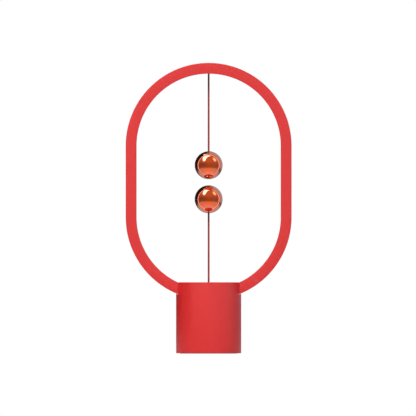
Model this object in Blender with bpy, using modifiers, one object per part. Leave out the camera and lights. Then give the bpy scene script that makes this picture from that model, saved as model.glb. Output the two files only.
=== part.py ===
"""Magnetic balance lamp: an upright oval light ring in a round base, with two magnetic balls on strings.

Metres, +Z up, front towards -Y. The origin is on the floor, under the middle of the base.
The lower ball is held up by the pull of the upper one, so its string is taut and the lamp is on.
"""

import math

import bmesh
import bpy
from mathutils import Matrix, Vector

# Clearances, and how far a cutter runs past what it cuts
FIT = 0.0003
STRING_CLEARANCE = 0.0004
BALL_CLEARANCE = 0.0006
OVERRUN = 0.003

# Points closer than this are one point, and flatter edges than this are shaded smooth
SEAM = 0.000003
SHARP_ANGLE = math.radians(35)

# Ring: an oval band of a front and a rear half, open at the bottom, where its ends stand in the base
RING_WIDTH = 0.214
RING_BAND = 0.014
RING_DEPTH = 0.028
RING_STRAIGHT = 0.092
RING_SINK = 0.023
RING_WALL = 0.002
RING_EDGE = 0.0006
RING_END_X = 0.018
RING_TURN_STEPS = 26
RING_STUB_STEPS = 6

# Diffuser in the ring's inner face: a nose between the lips and a flange behind them
DIFFUSER_WIDTH = 0.012
DIFFUSER_RECESS = 0.0003
DIFFUSER_FLANGE_LIP = 0.0025
DIFFUSER_FLANGE_THICKNESS = 0.0015

# Light strip against the ring's outer wall, between the ring's screws
STRIP_SCREW_GAP = 0.0035
STRIP_THICKNESS = 0.0003
STRIP_TAIL = 0.005
LED_SIZE = 0.005
LED_HEIGHT = 0.0016
LED_BED = 0.0002
LED_PITCH = 0.030
LED_END_GAP = 0.005

# End plugs that close the ring's hollow and take its screws
PLUG_LENGTH = 0.013
PLUG_STEPS = 3

# Base: a round tube with a rabbet for the cover, a ledge near the bottom and a window for the socket
BASE_RADIUS = 0.042
BASE_HEIGHT = 0.092
BASE_WALL = 0.0028
BASE_EDGE = 0.0005
BASE_STEPS = 48
FOOT_PROUD = 0.0004
COVER_THICKNESS = 0.0021
COVER_LEDGE = 0.0011
RIM_GAP = 0.0038
LEDGE_THICKNESS = 0.002
LEDGE_REACH = 0.0044

# Bottom plate, foot and ballast
PLATE_THICKNESS = 0.0032
FOOT_MARGIN = 0.0022
FOOT_BAND = 0.009
FOOT_THICKNESS = 0.0011
BALLAST_GAP = 0.0006
BALLAST_THICKNESS = 0.010
BALLAST_STEPS = 24

# Inner frame: a deck on the ledge, two walls, a bridge and saddles that carry the ring's ends
DECK_THICKNESS = 0.0025
SKIRT_THICKNESS = 0.0026
FRAME_HALF_DEPTH = 0.014
FRAME_CORNER_GAP = 0.001225
FRAME_WALL = 0.0038
FRAME_STEPS = 24
BRIDGE_GAP = 0.004
BRIDGE_THICKNESS = 0.003
SADDLE_LEAD = 0.0005
SADDLE_OVERLAP = 0.003
WEB_THICKNESS = 0.002
WEB_INSET = 0.0008

# Screws: shank radius, head radius, head height, and where each set stands
SCREW_CROWN_SHARE = 2 / 3
RING_SCREW = (0.00125, 0.0022, 0.0016)
RING_SCREW_INSET = 0.0035
BOTTOM_SCREW = (0.0015, 0.0027, 0.0016)
BOTTOM_SCREW_INSET = 0.004
BOTTOM_SCREW_SINK = 0.0006
BOTTOM_SCREW_TURNS = (math.radians(-90), math.radians(30), math.radians(150))
BOSS_RADIUS = 0.004
BOSS_HEIGHT = 0.006
BOSS_CAP = 0.001
BOARD_SCREW = (0.001, 0.0019, 0.0013)
BOARD_SCREW_SIDE = 0.0035
BOARD_SCREW_BACK = 0.009
BOARD_SCREW_REACH = 0.0037
GUIDE_SCREW = (0.001, 0.0019, 0.0013)
GUIDE_SCREW_REACH = 0.0028
SWITCH_SCREW = (0.0009, 0.0017, 0.0012)
SCREW_STEPS = 8
HOLE_SIDES = 12

# Control board between the bosses, and its socket at the back
BOARD_SIDE_GAP = 0.0038
BOARD_CORNER_GAP = 0.0019
BOARD_LENGTH = 0.027
BOARD_THICKNESS = 0.0016
STANDOFF_HEIGHT = 0.002
STANDOFF_RADIUS = 0.0026
CHIP_SIZE = (0.006, 0.005, 0.0014)
CHIP_FORWARD = 0.0055
CHOKE_SIZE = (0.004, 0.004, 0.0026)
CHOKE_FORWARD = 0.0085
SOCKET_WIDTH = 0.0089
SOCKET_HEIGHT = 0.0032
SOCKET_LENGTH = 0.0072
SOCKET_WALL = 0.00035
SOCKET_SET_BACK = 0.0007
TONGUE_WIDTH = 0.0066
TONGUE_THICKNESS = 0.0007
TONGUE_LENGTH = 0.0045
WINDOW_SIDE_ROOM = 0.00185
WINDOW_TOP_ROOM = 0.002
OVAL_STEPS = 8

# String and what it passes through
STRING_RADIUS = 0.0012
STRING_SIDES = 10
PIVOT_RINGS = 3
EYELET_RADIUS = 0.003
EYELET_FLANGE_RADIUS = 0.0045
EYELET_FLANGE = 0.001
EYELET_LENGTH = 0.0053
EYELET_SINK = 0.0002
GROMMET_RADIUS = 0.0026
GROMMET_FLANGE_RADIUS = 0.0038
GROMMET_FLANGE = 0.0012
GROMMET_STEPS = 12
KNOT_RADIUS = 0.0024

# Where the strings bend, above the base's top and below the ring's inner face
LOWER_TILT_RISE = 0.0045
LOWER_LEAN_RISE = 0.0145
LOWER_FOLD_RISE = 0.0515
UPPER_TILT_DROP = 0.0015
UPPER_LEAN_DROP = 0.010

# Balls
BALL_RADIUS = 0.018
BALL_GAP = 0.008
BALL_GAP_CENTRE_RISE = 0.129
SHELL_WALL = 0.001
BALL_STEPS = 24
SHELL_OUTER_STEPS = 8
SHELL_INNER_STEPS = 4
CORE_STEPS = 6
CHAMBER_RADIUS = 0.0032
CHAMBER_ROOF = 0.0047
CHAMBER_DEPTH = 0.0083
CRIMP_WALL = 0.0011
CRIMP_LENGTH = 0.005
MAGNET_RADIUS = 0.006
MAGNET_THICKNESS = 0.007
MAGNET_SET_BACK = 0.0005

# Slider that the lower string pulls up, with its guide and spring
GUIDE_RADIUS = 0.008
GUIDE_BORE = 0.0052
GUIDE_TOP_WALL = 0.002
GUIDE_TOP_GAP = 0.0025
GUIDE_DROP = 0.013
GUIDE_FLANGE_REACH = 0.005
GUIDE_FLANGE = 0.002
GUIDE_STEPS = 24
PISTON_HEIGHT = 0.004
PISTON_RISE = 0.0035
STEM_RADIUS = 0.003
STRIKER_RADIUS = 0.012
STRIKER_THICKNESS = 0.0025
STRIKER_HEIGHT_SHARE = 0.36
STRING_SOCKET_DEPTH = 0.0095
SPRING_WIRE = 0.0004
SPRING_RADIUS = 0.0036
SPRING_TURNS = 7
SPRING_POINTS_PER_TURN = 8
NEXT_TURN_SHARE = 0.75

# Switch beside the slider, with the lever that the slider lifts. Its places are shares of its length
SWITCH_GUIDE_GAP = 0.0007
SWITCH_WALL_GAP = 0.003
SWITCH_DEPTH = 0.0064
SWITCH_HEIGHT = 0.0102
SWITCH_TERMINAL_SHARES = (0.217, 0.783)
SWITCH_SCREW_SHARES = (0.263, 0.737)
LEVER_PIVOT_SHARE = 0.697
PLUNGER_SHARE = 0.4545
LEVER_THICKNESS = 0.0006
LEVER_WIDTH = 0.0036
NOSE_OVERLAP = 0.0038
NOSE_LENGTH = 0.0016
NOSE_HEIGHT = 0.0015
LEVER_EYE_RADIUS = 0.001
LEVER_PIN_RADIUS = 0.0006
LUG_THICKNESS = 0.0009
LUG_LENGTH = 0.0032
LUG_DROP = 0.0033
PLUNGER_RADIUS = 0.0008
PLUNGER_LENGTH = 0.0048
PLUNGER_SHOW = 0.0013
PLUNGER_WELL = 0.001
TERMINAL_SIZE = (0.0008, 0.003, 0.0035)
TERMINAL_WIRE_SWING = 0.001
TERMINAL_WIRE_RISE = 0.0015

# Wires, whose middle points are chosen by hand
WIRE_RADIUS = 0.00065
WIRE_STEP = 0.0039
WIRE_LEAD = 0.003
LED_WIRE_NAMES = ("led_wire_red", "led_wire_black")
LED_PAD_SHARES = (-0.31, -0.62)
LED_WIRE_ENDS = (0.0036, 0.0012)
LED_PAD_FORWARD = 0.0055
LED_WIRE_REST_Y = 0.002
LED_WIRE_MIDDLES = ((0.0, 0.0185, 0.035), (0.006, 0.020, 0.050), (0.012, 0.019, 0.066))
LED_WIRE_LAST_Y = 0.012
SWITCH_WIRE_NAMES = ("switch_wire_red", "switch_wire_white")
SWITCH_PAD_SHARES = (0.35, 0.69)
SWITCH_PAD_FORWARD = 0.0025
SWITCH_WIRE_SWAY = (-0.009, -0.0125, -0.0115, 0.0)
SWITCH_WIRE_SIDE_SHARES = (0.0, 0.05, 0.10, 0.75)
SWITCH_WIRE_HEIGHT_SHARES = (0.885, 0.572, 0.215, 0.135)

# Worked out from the sizes above
HALF_TURN = math.pi
RIGHT_ANGLE = math.pi / 2
RING_OUTER = RING_WIDTH / 2
RING_INNER = RING_OUTER - RING_BAND
RING_MIDDLE = RING_OUTER - RING_BAND / 2
RING_LOWER_CENTRE = BASE_HEIGHT - RING_SINK + RING_OUTER
RING_UPPER_CENTRE = RING_LOWER_CENTRE + RING_STRAIGHT
RING_INNER_TOP = RING_UPPER_CENTRE + RING_INNER
RING_END_TURN = math.asin(RING_END_X / RING_MIDDLE)
RING_OUTER_END_X = RING_OUTER * math.sin(RING_END_TURN)
RING_HALF_LENGTH = RING_INNER * (HALF_TURN - RING_END_TURN) + RING_STRAIGHT
RING_SCREW_Y = RING_DEPTH / 2 - RING_WALL - RING_SCREW_INSET
DIFFUSER_FLANGE_WIDTH = DIFFUSER_WIDTH + 2 * DIFFUSER_FLANGE_LIP
STRIP_WIDTH = 2 * (RING_SCREW_Y - STRIP_SCREW_GAP)
STRIP_OUT = RING_BAND - RING_WALL - FIT
STRIP_IN = STRIP_OUT - STRIP_THICKNESS
FLANGE_OUT = RING_WALL + FIT + DIFFUSER_FLANGE_THICKNESS
LEDS_PER_SIDE = int((RING_HALF_LENGTH - PLUG_LENGTH - LED_END_GAP) / LED_PITCH + 1 / 2)

BASE_INNER = BASE_RADIUS - BASE_WALL
COVER_SEAT = BASE_HEIGHT - COVER_THICKNESS - FIT
COVER_TRIM_X = BASE_RADIUS - RIM_GAP
PLATE_TOP = FOOT_PROUD + PLATE_THICKNESS
FOOT_OUTER_RADIUS = BASE_INNER - FOOT_MARGIN
FOOT_INNER_RADIUS = FOOT_OUTER_RADIUS - FOOT_BAND
BOTTOM_SCREW_CIRCLE = FOOT_INNER_RADIUS - BOTTOM_SCREW_INSET
LEDGE_BOTTOM = PLATE_TOP + FIT
LEDGE_TOP = LEDGE_BOTTOM + LEDGE_THICKNESS
BALLAST_RADIUS = BASE_INNER - LEDGE_REACH - BALLAST_GAP
BALLAST_TOP = LEDGE_BOTTOM + BALLAST_THICKNESS
DECK_BOTTOM = BALLAST_TOP + FIT
DECK_TOP = DECK_BOTTOM + DECK_THICKNESS

FRAME_HALF_WIDTH = math.sqrt((BASE_INNER - FRAME_CORNER_GAP) ** 2 - FRAME_HALF_DEPTH**2)
FRAME_INSIDE_X = FRAME_HALF_WIDTH - FRAME_WALL
BRIDGE_TOP = BASE_HEIGHT - RING_SINK - BRIDGE_GAP
BRIDGE_BOTTOM = BRIDGE_TOP - BRIDGE_THICKNESS
SADDLE_INNER_X = RING_END_X - SADDLE_LEAD
SADDLE_TOP = RING_LOWER_CENTRE - math.sqrt(RING_OUTER**2 - FRAME_HALF_WIDTH**2) + SADDLE_OVERLAP
RING_SCREW_X = (RING_OUTER_END_X + FRAME_INSIDE_X) / 2
RING_SCREW_TIP = RING_LOWER_CENTRE - math.sqrt(RING_MIDDLE**2 - RING_SCREW_X**2)

BOARD_HALF_WIDTH = BOTTOM_SCREW_CIRCLE * math.cos(BOTTOM_SCREW_TURNS[1]) - BOSS_RADIUS - BOARD_SIDE_GAP
BOARD_BACK_Y = math.sqrt((BASE_INNER - BOARD_CORNER_GAP) ** 2 - BOARD_HALF_WIDTH**2)
BOARD_FRONT_Y = BOARD_BACK_Y - BOARD_LENGTH
BOARD_SCREW_X = BOARD_HALF_WIDTH - BOARD_SCREW_SIDE
BOARD_SCREW_Y = BOARD_BACK_Y - BOARD_SCREW_BACK
BOARD_BOTTOM = DECK_TOP + STANDOFF_HEIGHT + FIT
BOARD_TOP = BOARD_BOTTOM + BOARD_THICKNESS
SOCKET_MOUTH_Y = BASE_INNER - SOCKET_SET_BACK
SOCKET_CENTRE_Z = BOARD_TOP + FIT + SOCKET_HEIGHT / 2
WINDOW_WIDTH = SOCKET_WIDTH + 2 * WINDOW_SIDE_ROOM
WINDOW_HEIGHT = SOCKET_HEIGHT + 2 * WINDOW_TOP_ROOM

GAP_CENTRE_Z = BASE_HEIGHT + BALL_GAP_CENTRE_RISE
UPPER_BALL_Z = GAP_CENTRE_Z + BALL_GAP / 2 + BALL_RADIUS
LOWER_BALL_Z = GAP_CENTRE_Z - BALL_GAP / 2 - BALL_RADIUS
CORE_RADIUS = BALL_RADIUS - SHELL_WALL - FIT
BALL_HOLE = STRING_RADIUS + BALL_CLEARANCE
CHAMBER_TOP = CORE_RADIUS - CHAMBER_ROOF
CHAMBER_FLOOR = CHAMBER_TOP - CHAMBER_DEPTH
CRIMP_END = CHAMBER_TOP - FIT - CRIMP_LENGTH
MAGNET_POCKET = MAGNET_RADIUS + FIT
MAGNET_FACE = math.sqrt(CORE_RADIUS**2 - MAGNET_POCKET**2) - MAGNET_SET_BACK
PIVOT_REACH = STRING_RADIUS + FIT

EYELET_TOP = BASE_HEIGHT - EYELET_SINK
GUIDE_TOP = EYELET_TOP - EYELET_LENGTH - GUIDE_TOP_GAP
GUIDE_BOTTOM = BRIDGE_TOP - GUIDE_DROP
GUIDE_CEILING = GUIDE_TOP - GUIDE_TOP_WALL
GUIDE_FLANGE_RADIUS = GUIDE_RADIUS + GUIDE_FLANGE_REACH
GUIDE_SCREW_Y = GUIDE_RADIUS + GUIDE_SCREW_REACH
PISTON_BOTTOM = GUIDE_BOTTOM + PISTON_RISE
PISTON_TOP = PISTON_BOTTOM + PISTON_HEIGHT
STRIKER_TOP = DECK_TOP + STRIKER_HEIGHT_SHARE * (BRIDGE_BOTTOM - DECK_TOP)
STRING_FOOT = PISTON_TOP - STRING_SOCKET_DEPTH + FIT
STRING_HOLE = STRING_RADIUS + STRING_CLEARANCE

LEVER_BOTTOM = STRIKER_TOP + FIT + NOSE_HEIGHT
LEVER_Z = LEVER_BOTTOM + LEVER_THICKNESS / 2
LEVER_TIP_X = STRIKER_RADIUS - NOSE_OVERLAP
PLUNGER_BOTTOM = LEVER_BOTTOM + LEVER_THICKNESS + FIT
SWITCH_BOTTOM = PLUNGER_BOTTOM + PLUNGER_SHOW
SWITCH_TOP = SWITCH_BOTTOM + SWITCH_HEIGHT
SWITCH_SCREW_Z = (SWITCH_BOTTOM + SWITCH_TOP) / 2
SWITCH_START_X = GUIDE_RADIUS + SWITCH_GUIDE_GAP
SWITCH_LENGTH = FRAME_INSIDE_X - SWITCH_WALL_GAP - SWITCH_START_X
SWITCH_END_X = SWITCH_START_X + SWITCH_LENGTH
LEVER_PIVOT_X = SWITCH_START_X + LEVER_PIVOT_SHARE * SWITCH_LENGTH
PLUNGER_X = SWITCH_START_X + PLUNGER_SHARE * SWITCH_LENGTH


def clear_scene():
    for old in list(bpy.data.objects):
        bpy.data.objects.remove(old)


def new_collection(name):
    made = bpy.data.collections.new(name)
    bpy.context.scene.collection.children.link(made)
    return made


clear_scene()
PARTS = new_collection("balance_lamp")
CUTTERS = new_collection("cutters")


def material(name, colour, roughness, metallic=0.0):
    made = bpy.data.materials.new(name)
    made.use_nodes = True
    shader = made.node_tree.nodes["Principled BSDF"]
    shader.inputs["Base Color"].default_value = (*colour, 1.0)
    shader.inputs["Roughness"].default_value = roughness
    shader.inputs["Metallic"].default_value = metallic
    return made


RED = material("red_satin_plastic", (0.716, 0.055, 0.055), 0.4)
FROSTED = material("frosted_diffuser", (0.86, 0.85, 0.82), 0.5)
BOARD_WHITE = material("white_light_strip", (0.80, 0.80, 0.76), 0.5)
BOARD_GREEN = material("green_board", (0.03, 0.22, 0.08), 0.45)
BLACK_PLASTIC = material("black_plastic", (0.02, 0.02, 0.022), 0.45)
GREY_PLASTIC = material("grey_plastic", (0.32, 0.32, 0.33), 0.5)
RUBBER = material("dark_rubber", (0.03, 0.03, 0.032), 0.85)
STEEL = material("steel", (0.56, 0.56, 0.57), 0.3, 1.0)
COPPER = material("polished_copper", (0.93, 0.42, 0.26), 0.06, 1.0)
MAGNET = material("nickel_magnet", (0.60, 0.58, 0.55), 0.2, 1.0)
CORD_RED = material("red_braid", (0.36, 0.05, 0.05), 0.8)
WIRE_RED = material("red_wire", (0.60, 0.03, 0.03), 0.4)
WIRE_BLACK = material("black_wire", (0.015, 0.015, 0.015), 0.4)
WIRE_WHITE = material("white_wire", (0.75, 0.75, 0.75), 0.4)


def add(name, mesh, finish=None):
    """A named object from a mesh: a part where it has a finish, a hidden cutter where it has none."""
    obj = bpy.data.objects.new(name, mesh)
    if finish is None:
        CUTTERS.objects.link(obj)
        obj.hide_render = True
        obj.display_type = "WIRE"
    else:
        PARTS.objects.link(obj)
        mesh.materials.append(finish)
    return obj


def smooth(obj):
    obj.data.shade_smooth()
    obj.data.set_sharp_from_angle(angle=SHARP_ANGLE)
    return obj


def mesh_from(build):
    """A mesh that the given function fills, with its faces turned out."""
    work = bmesh.new()
    build(work)
    bmesh.ops.recalc_face_normals(work, faces=work.faces)
    mesh = bpy.data.meshes.new("mesh")
    work.to_mesh(mesh)
    work.free()
    return mesh


def box(name, low, high, finish=None):
    low = Vector(low)
    high = Vector(high)
    place = Matrix.Translation((low + high) / 2) @ Matrix.Diagonal((*(high - low), 1))
    return add(name, mesh_from(lambda work: bmesh.ops.create_cube(work, size=1, matrix=place)), finish)


def rod(name, radius, start, end, finish=None, sides=HOLE_SIDES):
    """A round rod between two points, turned half a facet so that none of its edges lies on a main plane."""
    start = Vector(start)
    end = Vector(end)
    along = end - start
    turn = Vector((0, 0, 1)).rotation_difference(along).to_matrix().to_4x4()
    half_facet = Matrix.Rotation(math.pi / sides, 4, "Z")
    place = Matrix.Translation((start + end) / 2) @ turn @ half_facet

    def build(work):
        bmesh.ops.create_cone(
            work,
            cap_ends=True,
            segments=sides,
            radius1=radius,
            radius2=radius,
            depth=along.length,
            matrix=place,
        )

    obj = add(name, mesh_from(build), finish)
    return smooth(obj) if finish else obj


def turned(name, profile, finish=None, steps=32, place=(0, 0, 0)):
    """A turned solid from (radius, height) points that run down its outer side and up its inner side."""
    mesh = bpy.data.meshes.new(name)
    points = [(radius, 0, height) for radius, height in profile]
    ends = [(i, (i + 1) % len(points)) for i in range(len(points))]
    off_axis = [(i, j) for i, j in ends if max(points[i][0], points[j][0]) > SEAM]
    mesh.from_pydata(points, off_axis, [])
    obj = add(name, mesh, finish)
    obj.location = place
    screw = obj.modifiers.new("turn", "SCREW")
    screw.steps = steps
    screw.render_steps = steps
    screw.use_merge_vertices = True
    screw.merge_threshold = SEAM
    screw.use_smooth_shade = True
    return obj


def mesh_of(obj):
    """The evaluated mesh of an object, joined along its seams, with its faces turned out."""
    bpy.context.view_layer.update()
    graph = bpy.context.evaluated_depsgraph_get()
    mesh = bpy.data.meshes.new_from_object(obj.evaluated_get(graph))
    work = bmesh.new()
    work.from_mesh(mesh)
    bmesh.ops.remove_doubles(work, verts=work.verts, dist=SEAM)
    bmesh.ops.recalc_face_normals(work, faces=work.faces)
    work.to_mesh(mesh)
    work.free()
    return mesh


def poly_curve(name, points, cyclic=False):
    curve = bpy.data.curves.new(name, "CURVE")
    curve.dimensions = "3D"
    spline = curve.splines.new("POLY")
    spline.points.add(len(points) - 1)
    for point, place in zip(spline.points, points):
        point.co = (*place, 1)
    spline.use_cyclic_u = cyclic
    obj = bpy.data.objects.new(name, curve)
    CUTTERS.objects.link(obj)
    obj.hide_render = True
    return obj


def swept(name, path, section, finish=None):
    """A section carried along a path in the XZ plane, with its points as (out of the ring, to the front)."""
    outline = poly_curve(name + "_section", [(out, front, 0) for out, front in section], cyclic=True)
    line = poly_curve(name + "_path", [(x, z, 0) for x, z in path])
    line.data.bevel_mode = "OBJECT"
    line.data.bevel_object = outline
    line.data.use_fill_caps = True
    mesh = mesh_of(line)
    mesh.transform(Matrix.Rotation(RIGHT_ANGLE, 4, "X"))
    bpy.data.objects.remove(line)
    bpy.data.objects.remove(outline)
    return add(name, mesh, finish)


def tube(name, points, radius, finish, resolution=2):
    """A round tube with filled ends along a line of points."""
    obj = poly_curve(name, points)
    obj.data.bevel_depth = radius
    obj.data.bevel_resolution = resolution
    obj.data.use_fill_caps = True
    obj.hide_render = False
    CUTTERS.objects.unlink(obj)
    PARTS.objects.link(obj)
    obj.data.materials.append(finish)
    return obj


def boolean(obj, operation, others):
    for other in others:
        step = obj.modifiers.new(other.name, "BOOLEAN")
        step.operation = operation
        step.object = other
        step.solver = "EXACT"


def cut(obj, *cutters):
    boolean(obj, "DIFFERENCE", cutters)


def join(obj, *others):
    boolean(obj, "UNION", others)


def joint_empty(name, place):
    """An empty on a joint's axis, which carries the pieces that move with it."""
    empty = bpy.data.objects.new(name, None)
    PARTS.objects.link(empty)
    empty.location = place
    empty.empty_display_size = STRING_RADIUS
    return empty


def carry(empty, *pieces):
    bpy.context.view_layer.update()
    for piece in pieces:
        piece.parent = empty
        piece.matrix_parent_inverse = empty.matrix_world.inverted()


def arc(centre, radius, first, last, steps):
    """Points on an arc, with its angles counted from straight right, turning left."""
    return [
        (
            centre[0] + radius * math.cos(first + (last - first) * i / steps),
            centre[1] + radius * math.sin(first + (last - first) * i / steps),
        )
        for i in range(steps + 1)
    ]


def ring_path(end_turn):
    """The ring's inner face line, from its right end over the top to its left end."""
    low = (0, RING_LOWER_CENTRE)
    high = (0, RING_UPPER_CENTRE)
    quarter_steps = RING_TURN_STEPS // 2
    right = arc(low, RING_INNER, end_turn - RIGHT_ANGLE, 0, quarter_steps)
    top = arc(high, RING_INNER, 0, HALF_TURN, RING_TURN_STEPS)
    left = [(-x, z) for x, z in reversed(right)]
    return right + top + left


def lower_arc(side, first_turn, last_turn, steps):
    """A stretch of the ring's lower arc, on the right for side 1 and on the left for -1."""
    points = arc(
        (0, RING_LOWER_CENTRE), RING_INNER, first_turn - RIGHT_ANGLE, last_turn - RIGHT_ANGLE, steps
    )
    return points if side > 0 else [(-x, z) for x, z in reversed(points)]


def rectangle(low_out, high_out, half_depth):
    return [(low_out, -half_depth), (high_out, -half_depth), (high_out, half_depth), (low_out, half_depth)]


def ring_place(distance, out):
    """The place this far along the inner face from the ring's top and out from it, and its turn there."""
    quarter = RING_INNER * RIGHT_ANGLE
    along = abs(distance)
    if along < quarter:
        turn = along / RING_INNER
        x = (RING_INNER + out) * math.sin(turn)
        z = RING_UPPER_CENTRE + (RING_INNER + out) * math.cos(turn)
    elif along < quarter + RING_STRAIGHT:
        turn = RIGHT_ANGLE
        x = RING_INNER + out
        z = RING_UPPER_CENTRE - (along - quarter)
    else:
        turn = (along - RING_STRAIGHT) / RING_INNER
        x = (RING_INNER + out) * math.sin(turn)
        z = RING_LOWER_CENTRE + (RING_INNER + out) * math.cos(turn)
    side = math.copysign(1, distance)
    return Vector((side * x, 0, z)), side * turn


def both_sides(values):
    return [(side, value) for side in (1, -1) for value in values]


def ring_screw_holes():
    """Holes of the four ring screws, through saddle, shell and plug."""
    radius = RING_SCREW[0] + FIT
    low = BRIDGE_BOTTOM - OVERRUN
    high = RING_SCREW_TIP + FIT
    holes = {}
    for side in (1, -1):
        for front in (-1, 1):
            x = side * RING_SCREW_X
            y = front * RING_SCREW_Y
            holes[side, front] = rod(f"ring_screw_hole_{side}_{front}", radius, (x, y, low), (x, y, high))
    return holes


def ring_envelopes():
    """The space that the ring's ends take in the base, with the room above them that the rim leaves."""
    half = RING_DEPTH / 2 + FIT
    section = rectangle(-FIT, RING_BAND + FIT, half)
    first = RING_END_TURN - OVERRUN / RING_MIDDLE
    last = math.asin((BASE_RADIUS + OVERRUN) / RING_INNER)
    low = RING_LOWER_CENTRE - math.sqrt(RING_MIDDLE**2 - COVER_TRIM_X**2)
    high = BASE_HEIGHT + OVERRUN
    cutters = []
    for side, label in ((1, "right"), (-1, "left")):
        path = lower_arc(side, first, last, RING_STUB_STEPS)
        cutters.append(swept(f"ring_envelope_{label}", path, section))
        inner = side * COVER_TRIM_X
        outer = side * (BASE_RADIUS + OVERRUN)
        corners = (min(inner, outer), -half, low), (max(inner, outer), half, high)
        cutters.append(box(f"rim_gap_{label}", *corners))
    return cutters


def shell_section(front):
    """One half of the ring's hollow section: face, outer wall and lip."""
    lip = DIFFUSER_WIDTH / 2 + FIT
    face = RING_DEPTH / 2
    inside = face - RING_WALL
    split = FIT / 2
    points = [
        (0, lip),
        (0, face - RING_EDGE),
        (RING_EDGE, face),
        (RING_BAND - RING_EDGE, face),
        (RING_BAND, face - RING_EDGE),
        (RING_BAND, split),
        (RING_BAND - RING_WALL, split),
        (RING_BAND - RING_WALL, inside),
        (RING_WALL, inside),
        (RING_WALL, lip),
    ]
    return [(out, front * depth) for out, depth in points]


def make_ring(screw_holes):
    path = ring_path(RING_END_TURN)
    for name, front in (("ring_front_shell", 1), ("ring_rear_shell", -1)):
        shell = smooth(swept(name, path, shell_section(front), RED))
        cut(shell, *[screw_holes[side, -front] for side in (1, -1)])

    nose = DIFFUSER_WIDTH / 2
    flange = DIFFUSER_FLANGE_WIDTH / 2
    behind = RING_WALL + FIT
    section = [
        (DIFFUSER_RECESS, -nose),
        (behind, -nose),
        (behind, -flange),
        (FLANGE_OUT, -flange),
        (FLANGE_OUT, flange),
        (behind, flange),
        (behind, nose),
        (DIFFUSER_RECESS, nose),
    ]
    diffuser = smooth(swept("diffuser_strip", path, section, FROSTED))
    string_hole = rod(
        "diffuser_string_hole",
        GROMMET_RADIUS + FIT,
        (0, 0, RING_INNER_TOP - OVERRUN),
        (0, 0, RING_INNER_TOP + FLANGE_OUT + OVERRUN),
    )
    cut(diffuser, string_hole)
    make_light_strip()
    make_plugs(screw_holes)


def make_light_strip():
    tail_turn = STRIP_TAIL / (RING_INNER + STRIP_OUT)
    path = ring_path(RING_END_TURN - tail_turn)
    strip = swept("led_strip", path, rectangle(STRIP_IN, STRIP_OUT, STRIP_WIDTH / 2), BOARD_WHITE)
    low = STRIP_IN - LED_HEIGHT
    high = STRIP_IN + LED_BED

    def build(work):
        for side, count in both_sides(range(LEDS_PER_SIDE)):
            middle, turn = ring_place(side * (count + 1 / 2) * LED_PITCH, (low + high) / 2)
            place = (
                Matrix.Translation(middle)
                @ Matrix.Rotation(turn, 4, "Y")
                @ Matrix.Diagonal((LED_SIZE, LED_SIZE, high - low, 1))
            )
            bmesh.ops.create_cube(work, size=1, matrix=place)

    leds = add("led_packages", mesh_from(build))
    join(strip, leds)


def make_plugs(screw_holes):
    out_low = FLANGE_OUT + FIT
    out_high = STRIP_IN - FIT
    half_depth = RING_DEPTH / 2 - RING_WALL - FIT
    last = RING_END_TURN + PLUG_LENGTH / RING_MIDDLE
    for side, label in ((1, "right"), (-1, "left")):
        path = lower_arc(side, RING_END_TURN, last, PLUG_STEPS)
        plug = swept(f"ring_end_plug_{label}", path, rectangle(out_low, out_high, half_depth), GREY_PLASTIC)
        cut(plug, *[screw_holes[side, front] for front in (1, -1)])


def screw(name, sizes, head_base, direction, length):
    """A pan-headed screw: its shank runs from the head's base along the direction."""
    shank, head, height = sizes
    profile = [
        (0, height),
        (head * SCREW_CROWN_SHARE, height),
        (head, height / 2),
        (head, 0),
        (shank, 0),
        (shank, -length),
        (0, -length),
    ]
    made = turned(name, profile, STEEL, SCREW_STEPS, place=head_base)
    made.rotation_mode = "QUATERNION"
    made.rotation_quaternion = Vector((0, 0, -1)).rotation_difference(Vector(direction))
    return made


def make_ring_screws():
    for side, label in ((1, "right"), (-1, "left")):
        for front, place in ((-1, "front"), (1, "rear")):
            base = (side * RING_SCREW_X, front * RING_SCREW_Y, BRIDGE_BOTTOM - FIT)
            reach = RING_SCREW_TIP - BRIDGE_BOTTOM
            screw(f"ring_screw_{place}_{label}", RING_SCREW, base, (0, 0, 1), reach)


def oval_outline(width, height):
    """The half-round-ended outline of a flat opening, across and up."""
    radius = height / 2
    middle = width / 2 - radius
    right = arc((middle, 0), radius, -RIGHT_ANGLE, RIGHT_ANGLE, OVAL_STEPS)
    return right + [(-across, -up) for across, up in right]


def upright_prism(name, outline, start_y, end_y, finish=None):
    """An outline of (across, up) points stretched along Y."""

    def build(work):
        corners = [work.verts.new((across, start_y, up)) for across, up in outline]
        face = work.faces.new(corners)
        grown = bmesh.ops.extrude_face_region(work, geom=[face])
        moved = [item for item in grown["geom"] if isinstance(item, bmesh.types.BMVert)]
        bmesh.ops.translate(work, verts=moved, vec=(0, end_y - start_y, 0))

    return add(name, mesh_from(build), finish)


def oval_prism(name, width, height, start_y, end_y, centre_z, finish=None):
    """An oval outline stretched along Y."""
    outline = [(across, centre_z + up) for across, up in oval_outline(width, height)]
    return upright_prism(name, outline, start_y, end_y, finish)


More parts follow.
